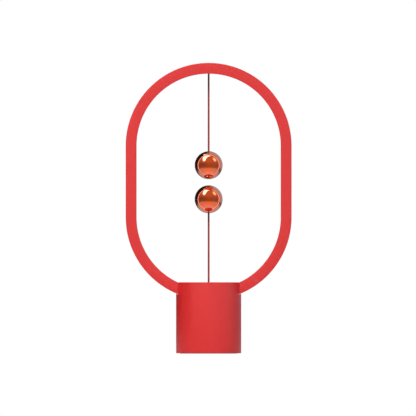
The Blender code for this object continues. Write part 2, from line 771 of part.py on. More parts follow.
def make_base(envelopes):
    outer = BASE_RADIUS
    ledge = BASE_INNER - LEDGE_REACH
    rabbet = BASE_INNER + COVER_LEDGE
    bottom = FOOT_PROUD
    profile = [
        (rabbet, BASE_HEIGHT),
        (outer - BASE_EDGE, BASE_HEIGHT),
        (outer, BASE_HEIGHT - BASE_EDGE),
        (outer, bottom + BASE_EDGE),
        (outer - BASE_EDGE, bottom),
        (BASE_INNER, bottom),
        (BASE_INNER, LEDGE_BOTTOM),
        (ledge, LEDGE_BOTTOM),
        (ledge, LEDGE_TOP),
        (BASE_INNER, LEDGE_TOP),
        (BASE_INNER, COVER_SEAT),
        (rabbet, COVER_SEAT),
    ]
    shell = turned("base_shell", profile, RED, BASE_STEPS)
    start_y = BASE_INNER - OVERRUN
    end_y = BASE_RADIUS + OVERRUN
    window = oval_prism("socket_window", WINDOW_WIDTH, WINDOW_HEIGHT, start_y, end_y, SOCKET_CENTRE_Z)
    cut(shell, *envelopes, window)

    flange_seat = EYELET_TOP - EYELET_FLANGE - FIT
    cover_profile = [
        (EYELET_FLANGE_RADIUS + FIT, BASE_HEIGHT),
        (rabbet - FIT, BASE_HEIGHT),
        (rabbet - FIT, COVER_SEAT + FIT),
        (EYELET_RADIUS + FIT, COVER_SEAT + FIT),
        (EYELET_RADIUS + FIT, flange_seat),
        (EYELET_FLANGE_RADIUS + FIT, flange_seat),
    ]
    cover = turned("top_cover", cover_profile, RED, BASE_STEPS)
    cut(cover, *envelopes)

    eyelet_profile = [
        (STRING_HOLE, EYELET_TOP),
        (EYELET_FLANGE_RADIUS, EYELET_TOP),
        (EYELET_FLANGE_RADIUS, EYELET_TOP - EYELET_FLANGE),
        (EYELET_RADIUS, EYELET_TOP - EYELET_FLANGE),
        (EYELET_RADIUS, EYELET_TOP - EYELET_LENGTH),
        (STRING_HOLE, EYELET_TOP - EYELET_LENGTH),
    ]
    turned("string_eyelet", eyelet_profile, STEEL, BALL_STEPS)


def bottom_screw_places():
    return [
        (BOTTOM_SCREW_CIRCLE * math.cos(turn), BOTTOM_SCREW_CIRCLE * math.sin(turn))
        for turn in BOTTOM_SCREW_TURNS
    ]


def make_bottom():
    groove_top = FOOT_THICKNESS + FIT
    outer = BASE_INNER - FIT
    plate_profile = [
        (0, PLATE_TOP),
        (outer, PLATE_TOP),
        (outer, FOOT_PROUD),
        (FOOT_OUTER_RADIUS + FIT, FOOT_PROUD),
        (FOOT_OUTER_RADIUS + FIT, groove_top),
        (FOOT_INNER_RADIUS - FIT, groove_top),
        (FOOT_INNER_RADIUS - FIT, FOOT_PROUD),
        (0, FOOT_PROUD),
    ]
    plate = turned("bottom_plate", plate_profile, BLACK_PLASTIC, BASE_STEPS)
    foot_profile = [
        (FOOT_INNER_RADIUS, FOOT_THICKNESS),
        (FOOT_OUTER_RADIUS, FOOT_THICKNESS),
        (FOOT_OUTER_RADIUS, 0),
        (FOOT_INNER_RADIUS, 0),
    ]
    turned("foot_pad", foot_profile, RUBBER, BASE_STEPS)
    low = (0, 0, LEDGE_BOTTOM)
    high = (0, 0, BALLAST_TOP)
    ballast = rod("ballast_weight", BALLAST_RADIUS, low, high, STEEL, BALLAST_STEPS)

    shank, head, height = BOTTOM_SCREW
    head_base = FOOT_PROUD + BOTTOM_SCREW_SINK + height
    boss_end = DECK_TOP + BOSS_HEIGHT - BOSS_CAP
    for count, (x, y) in enumerate(bottom_screw_places(), 1):
        hole = rod(f"bottom_screw_hole_{count}", shank + FIT, (x, y, -OVERRUN), (x, y, boss_end))
        well = rod(f"bottom_screw_well_{count}", head + FIT, (x, y, -OVERRUN), (x, y, head_base + FIT))
        cut(plate, well, hole)
        cut(ballast, hole)
        reach = boss_end - FIT - head_base
        screw(f"bottom_screw_{count}", BOTTOM_SCREW, (x, y, head_base), (0, 0, 1), reach)


def make_frame(envelopes, screw_holes):
    """The inner frame: everything in the base hangs on it or stands on it."""
    skirt_outer = BASE_INNER - FIT
    skirt_inner = skirt_outer - SKIRT_THICKNESS
    profile = [
        (0, DECK_TOP),
        (skirt_outer, DECK_TOP),
        (skirt_outer, LEDGE_TOP + FIT),
        (skirt_inner, LEDGE_TOP + FIT),
        (skirt_inner, DECK_BOTTOM),
        (0, DECK_BOTTOM),
    ]
    frame = turned("inner_frame", profile, GREY_PLASTIC, FRAME_STEPS)
    into = DECK_BOTTOM + DECK_THICKNESS / 2
    deep = FRAME_HALF_DEPTH
    half_portal = [
        (SADDLE_INNER_X, BRIDGE_TOP),
        (SADDLE_INNER_X, SADDLE_TOP),
        (FRAME_HALF_WIDTH, SADDLE_TOP),
        (FRAME_HALF_WIDTH, into),
        (FRAME_INSIDE_X, into),
        (FRAME_INSIDE_X, BRIDGE_BOTTOM),
    ]
    other_half = [(-x, z) for x, z in reversed(half_portal)]
    web_y = SWITCH_DEPTH / 2 + FIT
    web_low = (SWITCH_START_X + WEB_INSET, web_y, SWITCH_BOTTOM)
    web_high = (FRAME_INSIDE_X + FRAME_WALL / 2, web_y + WEB_THICKNESS, BRIDGE_TOP - BRIDGE_THICKNESS / 2)
    added = [
        upright_prism("portal", half_portal + other_half, -deep, deep),
        box("web", web_low, web_high),
    ]
    for count, (x, y) in enumerate(bottom_screw_places(), 1):
        added.append(rod(f"boss_{count}", BOSS_RADIUS, (x, y, into), (x, y, DECK_TOP + BOSS_HEIGHT)))
    for side in (1, -1):
        x = side * BOARD_SCREW_X
        low = (x, BOARD_SCREW_Y, into)
        high = (x, BOARD_SCREW_Y, BOARD_BOTTOM - FIT)
        added.append(rod(f"standoff_{side}", STANDOFF_RADIUS, low, high))
    join(frame, *added)
    cut(frame, *envelopes, *screw_holes.values())
    cut(frame, *[bpy.data.objects[f"bottom_screw_hole_{count}"] for count in (1, 2, 3)])
    low = (0, 0, BRIDGE_BOTTOM - OVERRUN)
    high = (0, 0, BRIDGE_TOP + OVERRUN)
    cut(frame, rod("guide_hole", GUIDE_RADIUS + FIT, low, high, sides=GUIDE_STEPS))
    return frame


def make_board(frame):
    low = (-BOARD_HALF_WIDTH, BOARD_FRONT_Y, BOARD_BOTTOM)
    high = (BOARD_HALF_WIDTH, BOARD_BACK_Y, BOARD_TOP)
    board = box("control_board", low, high, BOARD_GREEN)
    bed = BOARD_TOP - BOARD_THICKNESS / 2
    on_board = (("chip", CHIP_SIZE, 0, CHIP_FORWARD), ("choke", CHOKE_SIZE, BOARD_SCREW_X, CHOKE_FORWARD))
    for name, sizes, x, forward in on_board:
        width, length, height = sizes
        y = BOARD_SCREW_Y - forward
        low = (x - width / 2, y - length / 2, bed)
        high = (x + width / 2, y + length / 2, BOARD_TOP + height)
        join(board, box(name, low, high))
    shank = BOARD_SCREW[0]
    for side, label in ((1, "right"), (-1, "left")):
        x = side * BOARD_SCREW_X
        tip = BOARD_TOP + FIT - STANDOFF_HEIGHT - BOARD_SCREW_REACH
        hole = rod(
            f"board_screw_hole_{label}",
            shank + FIT,
            (x, BOARD_SCREW_Y, tip - FIT),
            (x, BOARD_SCREW_Y, BOARD_TOP + OVERRUN),
        )
        cut(board, hole)
        cut(frame, hole)
        base = (x, BOARD_SCREW_Y, BOARD_TOP + FIT)
        screw(f"board_screw_{label}", BOARD_SCREW, base, (0, 0, -1), STANDOFF_HEIGHT + BOARD_SCREW_REACH)

    back = SOCKET_MOUTH_Y - SOCKET_LENGTH
    sizes = (SOCKET_WIDTH, SOCKET_HEIGHT, back, SOCKET_MOUTH_Y, SOCKET_CENTRE_Z)
    socket = oval_prism("usb_shell", *sizes, STEEL)
    hollow = oval_prism(
        "socket_hollow",
        SOCKET_WIDTH - 2 * SOCKET_WALL,
        SOCKET_HEIGHT - 2 * SOCKET_WALL,
        back + SOCKET_WALL,
        SOCKET_MOUTH_Y + OVERRUN,
        SOCKET_CENTRE_Z,
    )
    cut(socket, hollow)
    root = back + SOCKET_WALL + FIT
    low = (-TONGUE_WIDTH / 2, root, SOCKET_CENTRE_Z - TONGUE_THICKNESS / 2)
    high = (TONGUE_WIDTH / 2, root + TONGUE_LENGTH, SOCKET_CENTRE_Z + TONGUE_THICKNESS / 2)
    box("usb_tongue", low, high, BLACK_PLASTIC)


def make_guide(frame):
    flange_base = BRIDGE_TOP + FIT
    profile = [
        (STRING_HOLE, GUIDE_TOP),
        (GUIDE_RADIUS, GUIDE_TOP),
        (GUIDE_RADIUS, flange_base + GUIDE_FLANGE),
        (GUIDE_FLANGE_RADIUS, flange_base + GUIDE_FLANGE),
        (GUIDE_FLANGE_RADIUS, flange_base),
        (GUIDE_RADIUS, flange_base),
        (GUIDE_RADIUS, GUIDE_BOTTOM),
        (GUIDE_BORE, GUIDE_BOTTOM),
        (GUIDE_BORE, GUIDE_CEILING),
        (STRING_HOLE, GUIDE_CEILING),
    ]
    guide = turned("slider_guide", profile, BLACK_PLASTIC, GUIDE_STEPS)
    head_base = flange_base + GUIDE_FLANGE + FIT
    length = head_base - BRIDGE_BOTTOM
    for side, label in ((-1, "front"), (1, "rear")):
        y = side * GUIDE_SCREW_Y
        hole = rod(
            f"guide_screw_hole_{label}",
            GUIDE_SCREW[0] + FIT,
            (0, y, BRIDGE_BOTTOM - OVERRUN),
            (0, y, head_base + OVERRUN),
        )
        cut(guide, hole)
        cut(frame, hole)
        screw(f"guide_screw_{label}", GUIDE_SCREW, (0, y, head_base), (0, 0, -1), length)


def spring_points():
    """The centre line of the spring, from its foot on the slider to the guide's ceiling."""
    low = PISTON_TOP + FIT + SPRING_WIRE
    high = GUIDE_CEILING - FIT - SPRING_WIRE
    count = SPRING_TURNS * SPRING_POINTS_PER_TURN
    points = []
    for i in range(count + 1):
        turn = 2 * math.pi * i / SPRING_POINTS_PER_TURN
        height = low + (high - low) * i / count
        points.append(Vector((SPRING_RADIUS * math.cos(turn), SPRING_RADIUS * math.sin(turn), height)))
    return points


def least_coil_gap(points, radius, points_per_turn):
    """The least open space between one turn and the next, measured on the centre line's points."""
    apart = int(points_per_turn * NEXT_TURN_SHARE)
    nearest = min(
        (points[j] - points[i]).length for i in range(len(points)) for j in range(i + apart, len(points))
    )
    return nearest - 2 * radius


def make_slider():
    socket = STRING_RADIUS + FIT
    striker_bottom = STRIKER_TOP - STRIKER_THICKNESS
    profile = [
        (socket, PISTON_TOP),
        (GUIDE_BORE - FIT, PISTON_TOP),
        (GUIDE_BORE - FIT, PISTON_BOTTOM),
        (STEM_RADIUS, PISTON_BOTTOM),
        (STEM_RADIUS, STRIKER_TOP),
        (STRIKER_RADIUS, STRIKER_TOP),
        (STRIKER_RADIUS, striker_bottom),
        (0, striker_bottom),
    ]
    floor = [(0, PISTON_TOP - STRING_SOCKET_DEPTH), (socket, PISTON_TOP - STRING_SOCKET_DEPTH)]
    slider = turned("pull_slider", floor + profile, BLACK_PLASTIC, GUIDE_STEPS)
    points = spring_points()
    gap = least_coil_gap(points, SPRING_WIRE, SPRING_POINTS_PER_TURN)
    print(f"pull_spring least gap {gap:.5f} m")
    spring = tube("pull_spring", points, SPRING_WIRE, STEEL, resolution=1)
    top = BASE_HEIGHT + LOWER_TILT_RISE - PIVOT_REACH
    tail = rod("lower_string_tail", STRING_RADIUS, (0, 0, STRING_FOOT), (0, 0, top), CORD_RED, STRING_SIDES)
    carry(joint_empty("switch_pull_axis", (0, 0, PISTON_BOTTOM)), slider, spring, tail)


def switch_places(shares):
    """Places along the switch, as X."""
    return [SWITCH_START_X + share * SWITCH_LENGTH for share in shares]


def make_switch(frame):
    half = SWITCH_DEPTH / 2
    low = (SWITCH_START_X, -half, SWITCH_BOTTOM)
    high = (SWITCH_END_X, half, SWITCH_TOP)
    body = box("microswitch_body", low, high, BLACK_PLASTIC)
    for side, label in ((1, "rear"), (-1, "front")):
        near = side * (half - LUG_THICKNESS)
        far = side * half
        low = (LEVER_PIVOT_X - LUG_LENGTH / 2, min(near, far), SWITCH_BOTTOM - LUG_DROP)
        high = (LEVER_PIVOT_X + LUG_LENGTH / 2, max(near, far), SWITCH_BOTTOM + LUG_THICKNESS)
        join(body, box(f"lug_{label}", low, high))
    width, depth, height = TERMINAL_SIZE
    for count, x in enumerate(switch_places(SWITCH_TERMINAL_SHARES), 1):
        low = (x - width / 2, -depth / 2, SWITCH_TOP - width)
        high = (x + width / 2, depth / 2, SWITCH_TOP + height)
        join(body, box(f"terminal_{count}", low, high))
    pin_hole = rod(
        "lever_pin_hole",
        LEVER_PIN_RADIUS + FIT,
        (LEVER_PIVOT_X, -half - OVERRUN, LEVER_Z),
        (LEVER_PIVOT_X, half + OVERRUN, LEVER_Z),
    )
    well_top = PLUNGER_BOTTOM + PLUNGER_LENGTH + PLUNGER_WELL
    low = (PLUNGER_X, 0, SWITCH_BOTTOM - OVERRUN)
    plunger_hole = rod("plunger_hole", PLUNGER_RADIUS + FIT, low, (PLUNGER_X, 0, well_top))
    cut(body, pin_hole, plunger_hole)
    head_y = -half - FIT
    reach = SWITCH_DEPTH + 2 * FIT + WEB_THICKNESS
    for x, label in zip(switch_places(SWITCH_SCREW_SHARES), ("inner", "outer")):
        hole = rod(
            f"switch_screw_hole_{label}",
            SWITCH_SCREW[0] + FIT,
            (x, head_y - OVERRUN, SWITCH_SCREW_Z),
            (x, head_y + reach + OVERRUN, SWITCH_SCREW_Z),
        )
        cut(body, hole)
        cut(frame, hole)
        screw(f"switch_screw_{label}", SWITCH_SCREW, (x, head_y, SWITCH_SCREW_Z), (0, 1, 0), reach)
    make_lever()
    low = (PLUNGER_X, 0, PLUNGER_BOTTOM)
    high = (PLUNGER_X, 0, PLUNGER_BOTTOM + PLUNGER_LENGTH)
    plunger = rod("switch_plunger", PLUNGER_RADIUS, low, high, RUBBER, STRING_SIDES)
    carry(joint_empty("plunger_axis", low), plunger)


def make_lever():
    tip = LEVER_TIP_X
    half = LEVER_WIDTH / 2
    top = LEVER_BOTTOM + LEVER_THICKNESS
    inside = SWITCH_DEPTH / 2 - LUG_THICKNESS - FIT
    lever = box("switch_lever", (tip, -half, LEVER_BOTTOM), (LEVER_PIVOT_X, half, top), STEEL)
    nose = box("lever_nose", (tip, -half, LEVER_BOTTOM - NOSE_HEIGHT), (tip + NOSE_LENGTH, half, LEVER_Z))
    join(lever, nose)
    for name, radius, reach in (
        ("lever_eye", LEVER_EYE_RADIUS, inside),
        ("lever_pin", LEVER_PIN_RADIUS, SWITCH_DEPTH / 2),
    ):
        start = (LEVER_PIVOT_X, -reach, LEVER_Z)
        end = (LEVER_PIVOT_X, reach, LEVER_Z)
        join(lever, rod(name, radius, start, end))
    carry(joint_empty("lever_axis", (LEVER_PIVOT_X, 0, LEVER_Z)), lever)


def string_link(name, pivot_z, end_z):
    """A stretch of string with a round end about its bend, so that it clears the stretch before it."""
    up = math.copysign(1, end_z - pivot_z)
    cap = [
        (math.sin(turn) * STRING_RADIUS, -up * math.cos(turn) * STRING_RADIUS)
        for turn in [RIGHT_ANGLE * i / PIVOT_RINGS for i in range(PIVOT_RINGS + 1)]
    ]
    profile = cap + [(STRING_RADIUS, end_z - pivot_z), (0, end_z - pivot_z)]
    if up > 0:
        profile.reverse()
    return turned(name, profile, CORD_RED, STRING_SIDES, place=(0, 0, pivot_z))


def crimp(name, ball_z, up):
    """The sleeve on the string's end inside a ball: the ball's chamber rests on it."""
    near = CHAMBER_TOP - FIT
    far = CRIMP_END
    inner = STRING_RADIUS + FIT
    outer = inner + CRIMP_WALL
    high = max(up * near, up * far)
    low = min(up * near, up * far)
    profile = [(inner, high), (outer, high), (outer, low), (inner, low)]
    return turned(name, profile, STEEL, STRING_SIDES, place=(0, 0, ball_z))


def make_ball(label, ball_z, up):
    """A ball of two polished shells on a core with a magnet. up is 1 where its string comes from above."""
    split = FIT / 2
    inner = BALL_RADIUS - SHELL_WALL
    start = math.asin(BALL_HOLE / BALL_RADIUS)
    inner_start = math.asin(BALL_HOLE / inner)
    equator = math.acos(split / BALL_RADIUS)
    inner_equator = math.acos(split / inner)

    def down(radius, first, last, steps):
        turns = [first + (last - first) * i / steps for i in range(steps + 1)]
        return [(radius * math.sin(turn), radius * math.cos(turn)) for turn in turns]

    def about(profile):
        """The profile the right way up, still running down its outer side."""
        return profile if up > 0 else [(radius, -height) for radius, height in reversed(profile)]

    string_side = down(BALL_RADIUS, start, equator, SHELL_OUTER_STEPS)
    string_side += down(inner, inner_equator, inner_start, SHELL_INNER_STEPS)
    far_side = down(BALL_RADIUS, HALF_TURN - equator, HALF_TURN, SHELL_OUTER_STEPS)
    far_side += down(inner, HALF_TURN, HALF_TURN - inner_equator, SHELL_INNER_STEPS)
    place = (0, 0, ball_z)
    names = ("upper", "lower") if up > 0 else ("lower", "upper")
    first = turned(f"{label}_{names[0]}_shell", about(string_side), COPPER, BALL_STEPS, place=place)
    second = turned(f"{label}_{names[1]}_shell", about(far_side), COPPER, BALL_STEPS, place=place)

    pocket = MAGNET_POCKET
    pocket_floor = -(MAGNET_FACE - MAGNET_THICKNESS - FIT)
    bore_turn = math.asin(BALL_HOLE / CORE_RADIUS)
    pocket_turn = HALF_TURN - math.asin(pocket / CORE_RADIUS)
    core_profile = [
        (0, CHAMBER_FLOOR),
        (CHAMBER_RADIUS, CHAMBER_FLOOR),
        (CHAMBER_RADIUS, CHAMBER_TOP),
        (BALL_HOLE, CHAMBER_TOP),
    ]
    core_profile += down(CORE_RADIUS, bore_turn, pocket_turn, CORE_STEPS)
    core_profile += [(pocket, pocket_floor), (0, pocket_floor)]
    core = turned(f"{label}_core", about(core_profile), GREY_PLASTIC, BALL_STEPS, place=place)
    face = ball_z - up * MAGNET_FACE
    back = face + up * MAGNET_THICKNESS
    magnet = rod(f"{label}_magnet", MAGNET_RADIUS, (0, 0, face), (0, 0, back), MAGNET, BALL_STEPS)
    carry(joint_empty(f"{label}_axis", place), first, second, core, magnet)


def make_strings():
    tilt = BASE_HEIGHT + LOWER_TILT_RISE
    lean = BASE_HEIGHT + LOWER_LEAN_RISE
    fold = BASE_HEIGHT + LOWER_FOLD_RISE
    first = string_link("lower_string_first", tilt, lean - PIVOT_REACH)
    second = string_link("lower_string_second", lean, fold - PIVOT_REACH)
    third = string_link("lower_string_third", fold, LOWER_BALL_Z - CRIMP_END)
    sleeve = crimp("lower_string_crimp", LOWER_BALL_Z, -1)
    carry(joint_empty("lower_tilt_axis", (0, 0, tilt)), first)
    carry(joint_empty("lower_lean_axis", (0, 0, lean)), second)
    carry(joint_empty("lower_fold_axis", (0, 0, fold)), third, sleeve)

    high_tilt = RING_INNER_TOP - UPPER_TILT_DROP
    high_lean = RING_INNER_TOP - UPPER_LEAN_DROP
    first = string_link("upper_string_first", high_tilt, high_lean + PIVOT_REACH)
    second = string_link("upper_string_second", high_lean, UPPER_BALL_Z + CRIMP_END)
    sleeve = crimp("upper_string_crimp", UPPER_BALL_Z, 1)
    carry(joint_empty("upper_tilt_axis", (0, 0, high_tilt)), first)
    carry(joint_empty("upper_lean_axis", (0, 0, high_lean)), second, sleeve)

    flange_low = RING_INNER_TOP + FLANGE_OUT + FIT
    flange_high = flange_low + GROMMET_FLANGE
    grommet_profile = [
        (STRING_HOLE, flange_high),
        (GROMMET_FLANGE_RADIUS, flange_high),
        (GROMMET_FLANGE_RADIUS, flange_low),
        (GROMMET_RADIUS, flange_low),
        (GROMMET_RADIUS, RING_INNER_TOP + DIFFUSER_RECESS),
        (STRING_HOLE, RING_INNER_TOP + DIFFUSER_RECESS),
    ]
    turned("upper_string_grommet", grommet_profile, FROSTED, GROMMET_STEPS)
    root_low = high_tilt + PIVOT_REACH
    knot_z = flange_high + FIT + KNOT_RADIUS
    neck = math.asin(STRING_RADIUS / KNOT_RADIUS)
    knot = [
        (KNOT_RADIUS * math.sin(turn), knot_z + KNOT_RADIUS * math.cos(turn))
        for turn in [(HALF_TURN - neck) * i / OVAL_STEPS for i in range(OVAL_STEPS + 1)]
    ]
    root_profile = knot + [(STRING_RADIUS, root_low), (0, root_low)]
    turned("upper_string_root", root_profile, CORD_RED, STRING_SIDES)


def smooth_route(points):
    """Points a wire step apart on a smooth curve through the given ones."""
    ends = [2 * points[0] - points[1], *points, 2 * points[-1] - points[-2]]
    fine = []
    for before, start, end, after in zip(ends, ends[1:], ends[2:], ends[3:]):
        steps = max(1, round((end - start).length / WIRE_STEP))
        for i in range(steps):
            share = i / steps
            fine.append(
                (
                    2 * start
                    + (end - before) * share
                    + (2 * before - 5 * start + 4 * end - after) * share**2
                    + (3 * start - before - 3 * end + after) * share**3
                )
                / 2
            )
    return [*fine, points[-1]]


def make_wires():
    """The light strip's two wires and the switch's two, each from its pad on the board."""
    board = BOARD_TOP + FIT
    finishes = {"red": WIRE_RED, "black": WIRE_BLACK, "white": WIRE_WHITE}
    height = RING_INNER + STRIP_IN - FIT - WIRE_RADIUS
    tail_turn = RING_END_TURN - STRIP_TAIL / (RING_INNER + STRIP_OUT)
    pad_y = BOARD_FRONT_Y + LED_PAD_FORWARD
    for name, pad_share, from_end in zip(LED_WIRE_NAMES, LED_PAD_SHARES, LED_WIRE_ENDS):
        pad_x = pad_share * BOARD_HALF_WIDTH
        turn = tail_turn + from_end / height
        x = height * math.sin(turn)
        z = RING_LOWER_CENTRE - height * math.cos(turn)
        spread = LED_WIRE_ENDS[0] - from_end
        route = [Vector((pad_x, pad_y, board)), Vector((pad_x, pad_y, board + WIRE_LEAD))]
        route += [Vector((side - spread, back + spread, rise)) for side, back, rise in LED_WIRE_MIDDLES]
        route += [Vector((x, LED_WIRE_LAST_Y, z)), Vector((x, LED_WIRE_REST_Y, z))]
        tube(name, smooth_route(route), WIRE_RADIUS, finishes[name.split("_")[-1]])

    terminal_top = SWITCH_TOP + TERMINAL_SIZE[2] + FIT
    pad_y = BOARD_FRONT_Y + SWITCH_PAD_FORWARD
    starts = switch_places(SWITCH_TERMINAL_SHARES)
    for name, pad_share, start_x in zip(SWITCH_WIRE_NAMES, SWITCH_PAD_SHARES, starts):
        pad_x = pad_share * BOARD_HALF_WIDTH
        route = [
            Vector((start_x, 0, terminal_top)),
            Vector((start_x, -TERMINAL_WIRE_SWING, terminal_top + TERMINAL_WIRE_RISE)),
        ]
        for side, y, height in zip(SWITCH_WIRE_SIDE_SHARES, SWITCH_WIRE_SWAY, SWITCH_WIRE_HEIGHT_SHARES):
            x = start_x + (pad_x - start_x) * side
            route.append(Vector((x, y, BOARD_TOP + (terminal_top - BOARD_TOP) * height)))
        route += [Vector((pad_x, pad_y, board + WIRE_LEAD)), Vector((pad_x, pad_y, board))]
        tube(name, smooth_route(route), WIRE_RADIUS, finishes[name.split("_")[-1]])


def make_lamp():
    screw_holes = ring_screw_holes()
    envelopes = ring_envelopes()
    make_ring(screw_holes)
    make_ring_screws()
    make_base(envelopes)
    make_bottom()
    frame = make_frame(envelopes, screw_holes)
    make_board(frame)
    make_guide(frame)
    make_slider()
    make_switch(frame)
    make_strings()
    make_ball("upper_ball", UPPER_BALL_Z, 1)
    make_ball("lower_ball", LOWER_BALL_Z, -1)
    make_wires()


make_lamp()
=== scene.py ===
import math

import bmesh
import bpy
from mathutils import Matrix, Vector


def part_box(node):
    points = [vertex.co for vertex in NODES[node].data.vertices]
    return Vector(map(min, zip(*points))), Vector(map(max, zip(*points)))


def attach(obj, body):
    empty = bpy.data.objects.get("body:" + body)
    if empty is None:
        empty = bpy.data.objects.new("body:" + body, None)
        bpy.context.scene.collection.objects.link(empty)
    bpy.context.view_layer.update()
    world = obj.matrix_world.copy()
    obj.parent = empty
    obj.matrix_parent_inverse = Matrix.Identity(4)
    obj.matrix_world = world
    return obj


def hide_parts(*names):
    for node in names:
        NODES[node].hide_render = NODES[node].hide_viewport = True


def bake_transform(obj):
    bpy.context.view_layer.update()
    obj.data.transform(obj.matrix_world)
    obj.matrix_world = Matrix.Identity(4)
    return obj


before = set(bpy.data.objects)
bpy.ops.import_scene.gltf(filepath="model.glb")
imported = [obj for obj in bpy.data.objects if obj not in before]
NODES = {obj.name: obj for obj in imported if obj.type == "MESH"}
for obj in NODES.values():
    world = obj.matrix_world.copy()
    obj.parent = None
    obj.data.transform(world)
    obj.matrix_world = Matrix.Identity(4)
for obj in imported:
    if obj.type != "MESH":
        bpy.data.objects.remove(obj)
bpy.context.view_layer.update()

# Photograph: 416 px across, 1.29 mm per pixel, seen level from the front
PHOTO_WIDTH = 0.5366
VIEW_X = -0.00084
VIEW_Z = 0.1878
CAMERA_DISTANCE = 1.6

# Sizes that the frame gives
RING_LOW, RING_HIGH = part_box("ring_front_shell")
BASE_LOW, BASE_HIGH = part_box("base_shell")
COVER_LOW, COVER_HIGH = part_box("top_cover")
EYELET_LOW, EYELET_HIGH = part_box("string_eyelet")
GROMMET_LOW, GROMMET_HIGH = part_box("upper_string_grommet")
RING_OUTER = RING_HIGH.x
RING_HALF_DEPTH = -RING_LOW.y
RING_TOP = RING_HIGH.z
BASE_RADIUS = BASE_HIGH.x
BASE_TOP = BASE_HIGH.z

# Sizes that both scripts state
FIT = 0.0003
OVERRUN = 0.003
RING_BAND = 0.014
RING_STRAIGHT = 0.092
RING_WALL = 0.002
RING_EDGE = 0.0007
RING_END_X = 0.018
LIP_EDGE = 0.0003
DIFFUSER_HALF_NOSE = 0.006
DIFFUSER_HALF_FLANGE = 0.0085
DIFFUSER_FLANGE = 0.0015
DIFFUSER_RECESS = 0.0003
BASE_WALL = 0.0028
BASE_EDGE = 0.0007
COVER_THICKNESS = 0.0021
COVER_LEDGE = 0.0011
RIM_GAP = 0.0038
LEDGE_LOW = 0.0039
LEDGE_HIGH = 0.0059
LEDGE_REACH = 0.0044
WINDOW_WIDTH = 0.0126
WINDOW_HEIGHT = 0.0072
STRING_RADIUS = 0.0012
STRING_HOLE = 0.0016
BALL_RADIUS = 0.018
SHELL_WALL = 0.001
BALL_HOLE = 0.0018
SEAM = 0.00003
EYELET_NECK = 0.003
EYELET_FLANGE = 0.001
GROMMET_NECK = 0.0026
GROMMET_FLANGE = 0.0012
GROMMET_ROOM = 0.0029

# Rounded edges of the smaller pieces
RABBET_EDGE = 0.00025
COVER_HOLE_EDGE = 0.0002
COVER_EDGE = 0.0003
EYELET_EDGE = 0.0004
EYELET_FOOT_EDGE = 0.0003
GROMMET_EDGE = 0.0003

RING_INNER = RING_OUTER - RING_BAND
RING_MIDDLE = RING_OUTER - RING_BAND / 2
RING_UPPER_CENTRE = RING_TOP - RING_OUTER
RING_LOWER_CENTRE = RING_UPPER_CENTRE - RING_STRAIGHT
RING_INNER_TOP = RING_UPPER_CENTRE + RING_INNER
RING_END_TURN = math.asin(RING_END_X / RING_MIDDLE)
QUARTER = math.pi / 2
HALF_TURN = math.pi
FULL_TURN = 2 * math.pi

# Fineness of the surfaces
RING_STEPS = 120
TURN_STEPS = 160
BALL_RINGS = 48
BALL_TURN_STEPS = 128
EYELET_STEPS = 96
GROMMET_STEPS = 64
ROOM_STEPS = 24
WINDOW_STEPS = 16
ROD_SIDES = 48
FILLET_STEPS = 4
KNOT_RINGS = 24
KNOT_TURN_STEPS = 32
WELD = 1e-7
SPECK = 1e-8
SHARP_ANGLE = math.radians(32)

# String: where its stretches meet, in the middle of the links, and where it bends
STRING_SIDES = 28
STRING_RING_STEP = 0.00022
BRAID_STRANDS = 8
BRAID_PITCH = 0.0052
BRAID_HEIGHT = 0.00006
BRAID_LEVEL_SHARE = 0.9
UPPER_KNOT_Z = 0.3690
KNOT_RADIUS = 0.0024
UPPER_MEET = 0.3556
UPPER_END = 0.2500
LOWER_FOOT = 0.0504
LOWER_MEET_A = 0.0860
LOWER_MEET_B = 0.1015
LOWER_MEET_C = 0.1250
LOWER_END = 0.1920

# Depths of the surfaces' relief, in metres
GRAIN_DEPTH = 0.00006
WAVE_DEPTH = 0.0002
SCRATCH_DEPTH = 0.00003
HAZE_DEPTH = 0.0002
BRAID_DEPTH = 0.00008
FROST_DEPTH = 0.00004
TRACK_DEPTH = 0.00005

# Worn edges of the plastic: how much of its colour they keep, and how much paler they are
WORN_SHARE = 0.6
WORN_LIFT = 0.25

# How much plastic and string shine, and how far the metals' grain is drawn out
PLASTIC_SPECULAR = 0.5
STRING_SPECULAR = 0.25
METAL_STRETCH = (1.0, 1.0, 40.0)

# Copper, string and diffuser
COPPER_DEEP = (0.93, 0.355, 0.225)
COPPER_LIGHT = (0.96, 0.40, 0.265)
STRING_DEEP = (0.27, 0.020, 0.018)
STRING_LIGHT = (0.39, 0.040, 0.034)
STRING_WARM = (0.42, 0.060, 0.050)
# Painted shade on the string: its colour darkens just under the ring and just under the lower ball, where
# those parts shade it
STRING_PAINTED_SHADE = (0.070, 0.018, 0.026)
UPPER_PAINTED_SHADE_SPAN = (0.328, 0.346)
LOWER_PAINTED_SHADE_SPAN = (0.158, 0.178)
LOWER_PAINTED_SHADE_STOP = (0.195, 0.200)
STRING_PAINTED_SHADE_SHARE = 0.86
GLOW_STRENGTH = 0.90
GLOW_EDGE = (0.78, 0.68, 0.60)
GLOW_EDGE_START = 0.001
DIFFUSER_DEEP = (0.80, 0.79, 0.76)
DIFFUSER_PALE = (0.88, 0.87, 0.84)
GLOW_WARM = (1.0, 0.90, 0.80)
GLOW_PALE = (1.0, 0.95, 0.88)

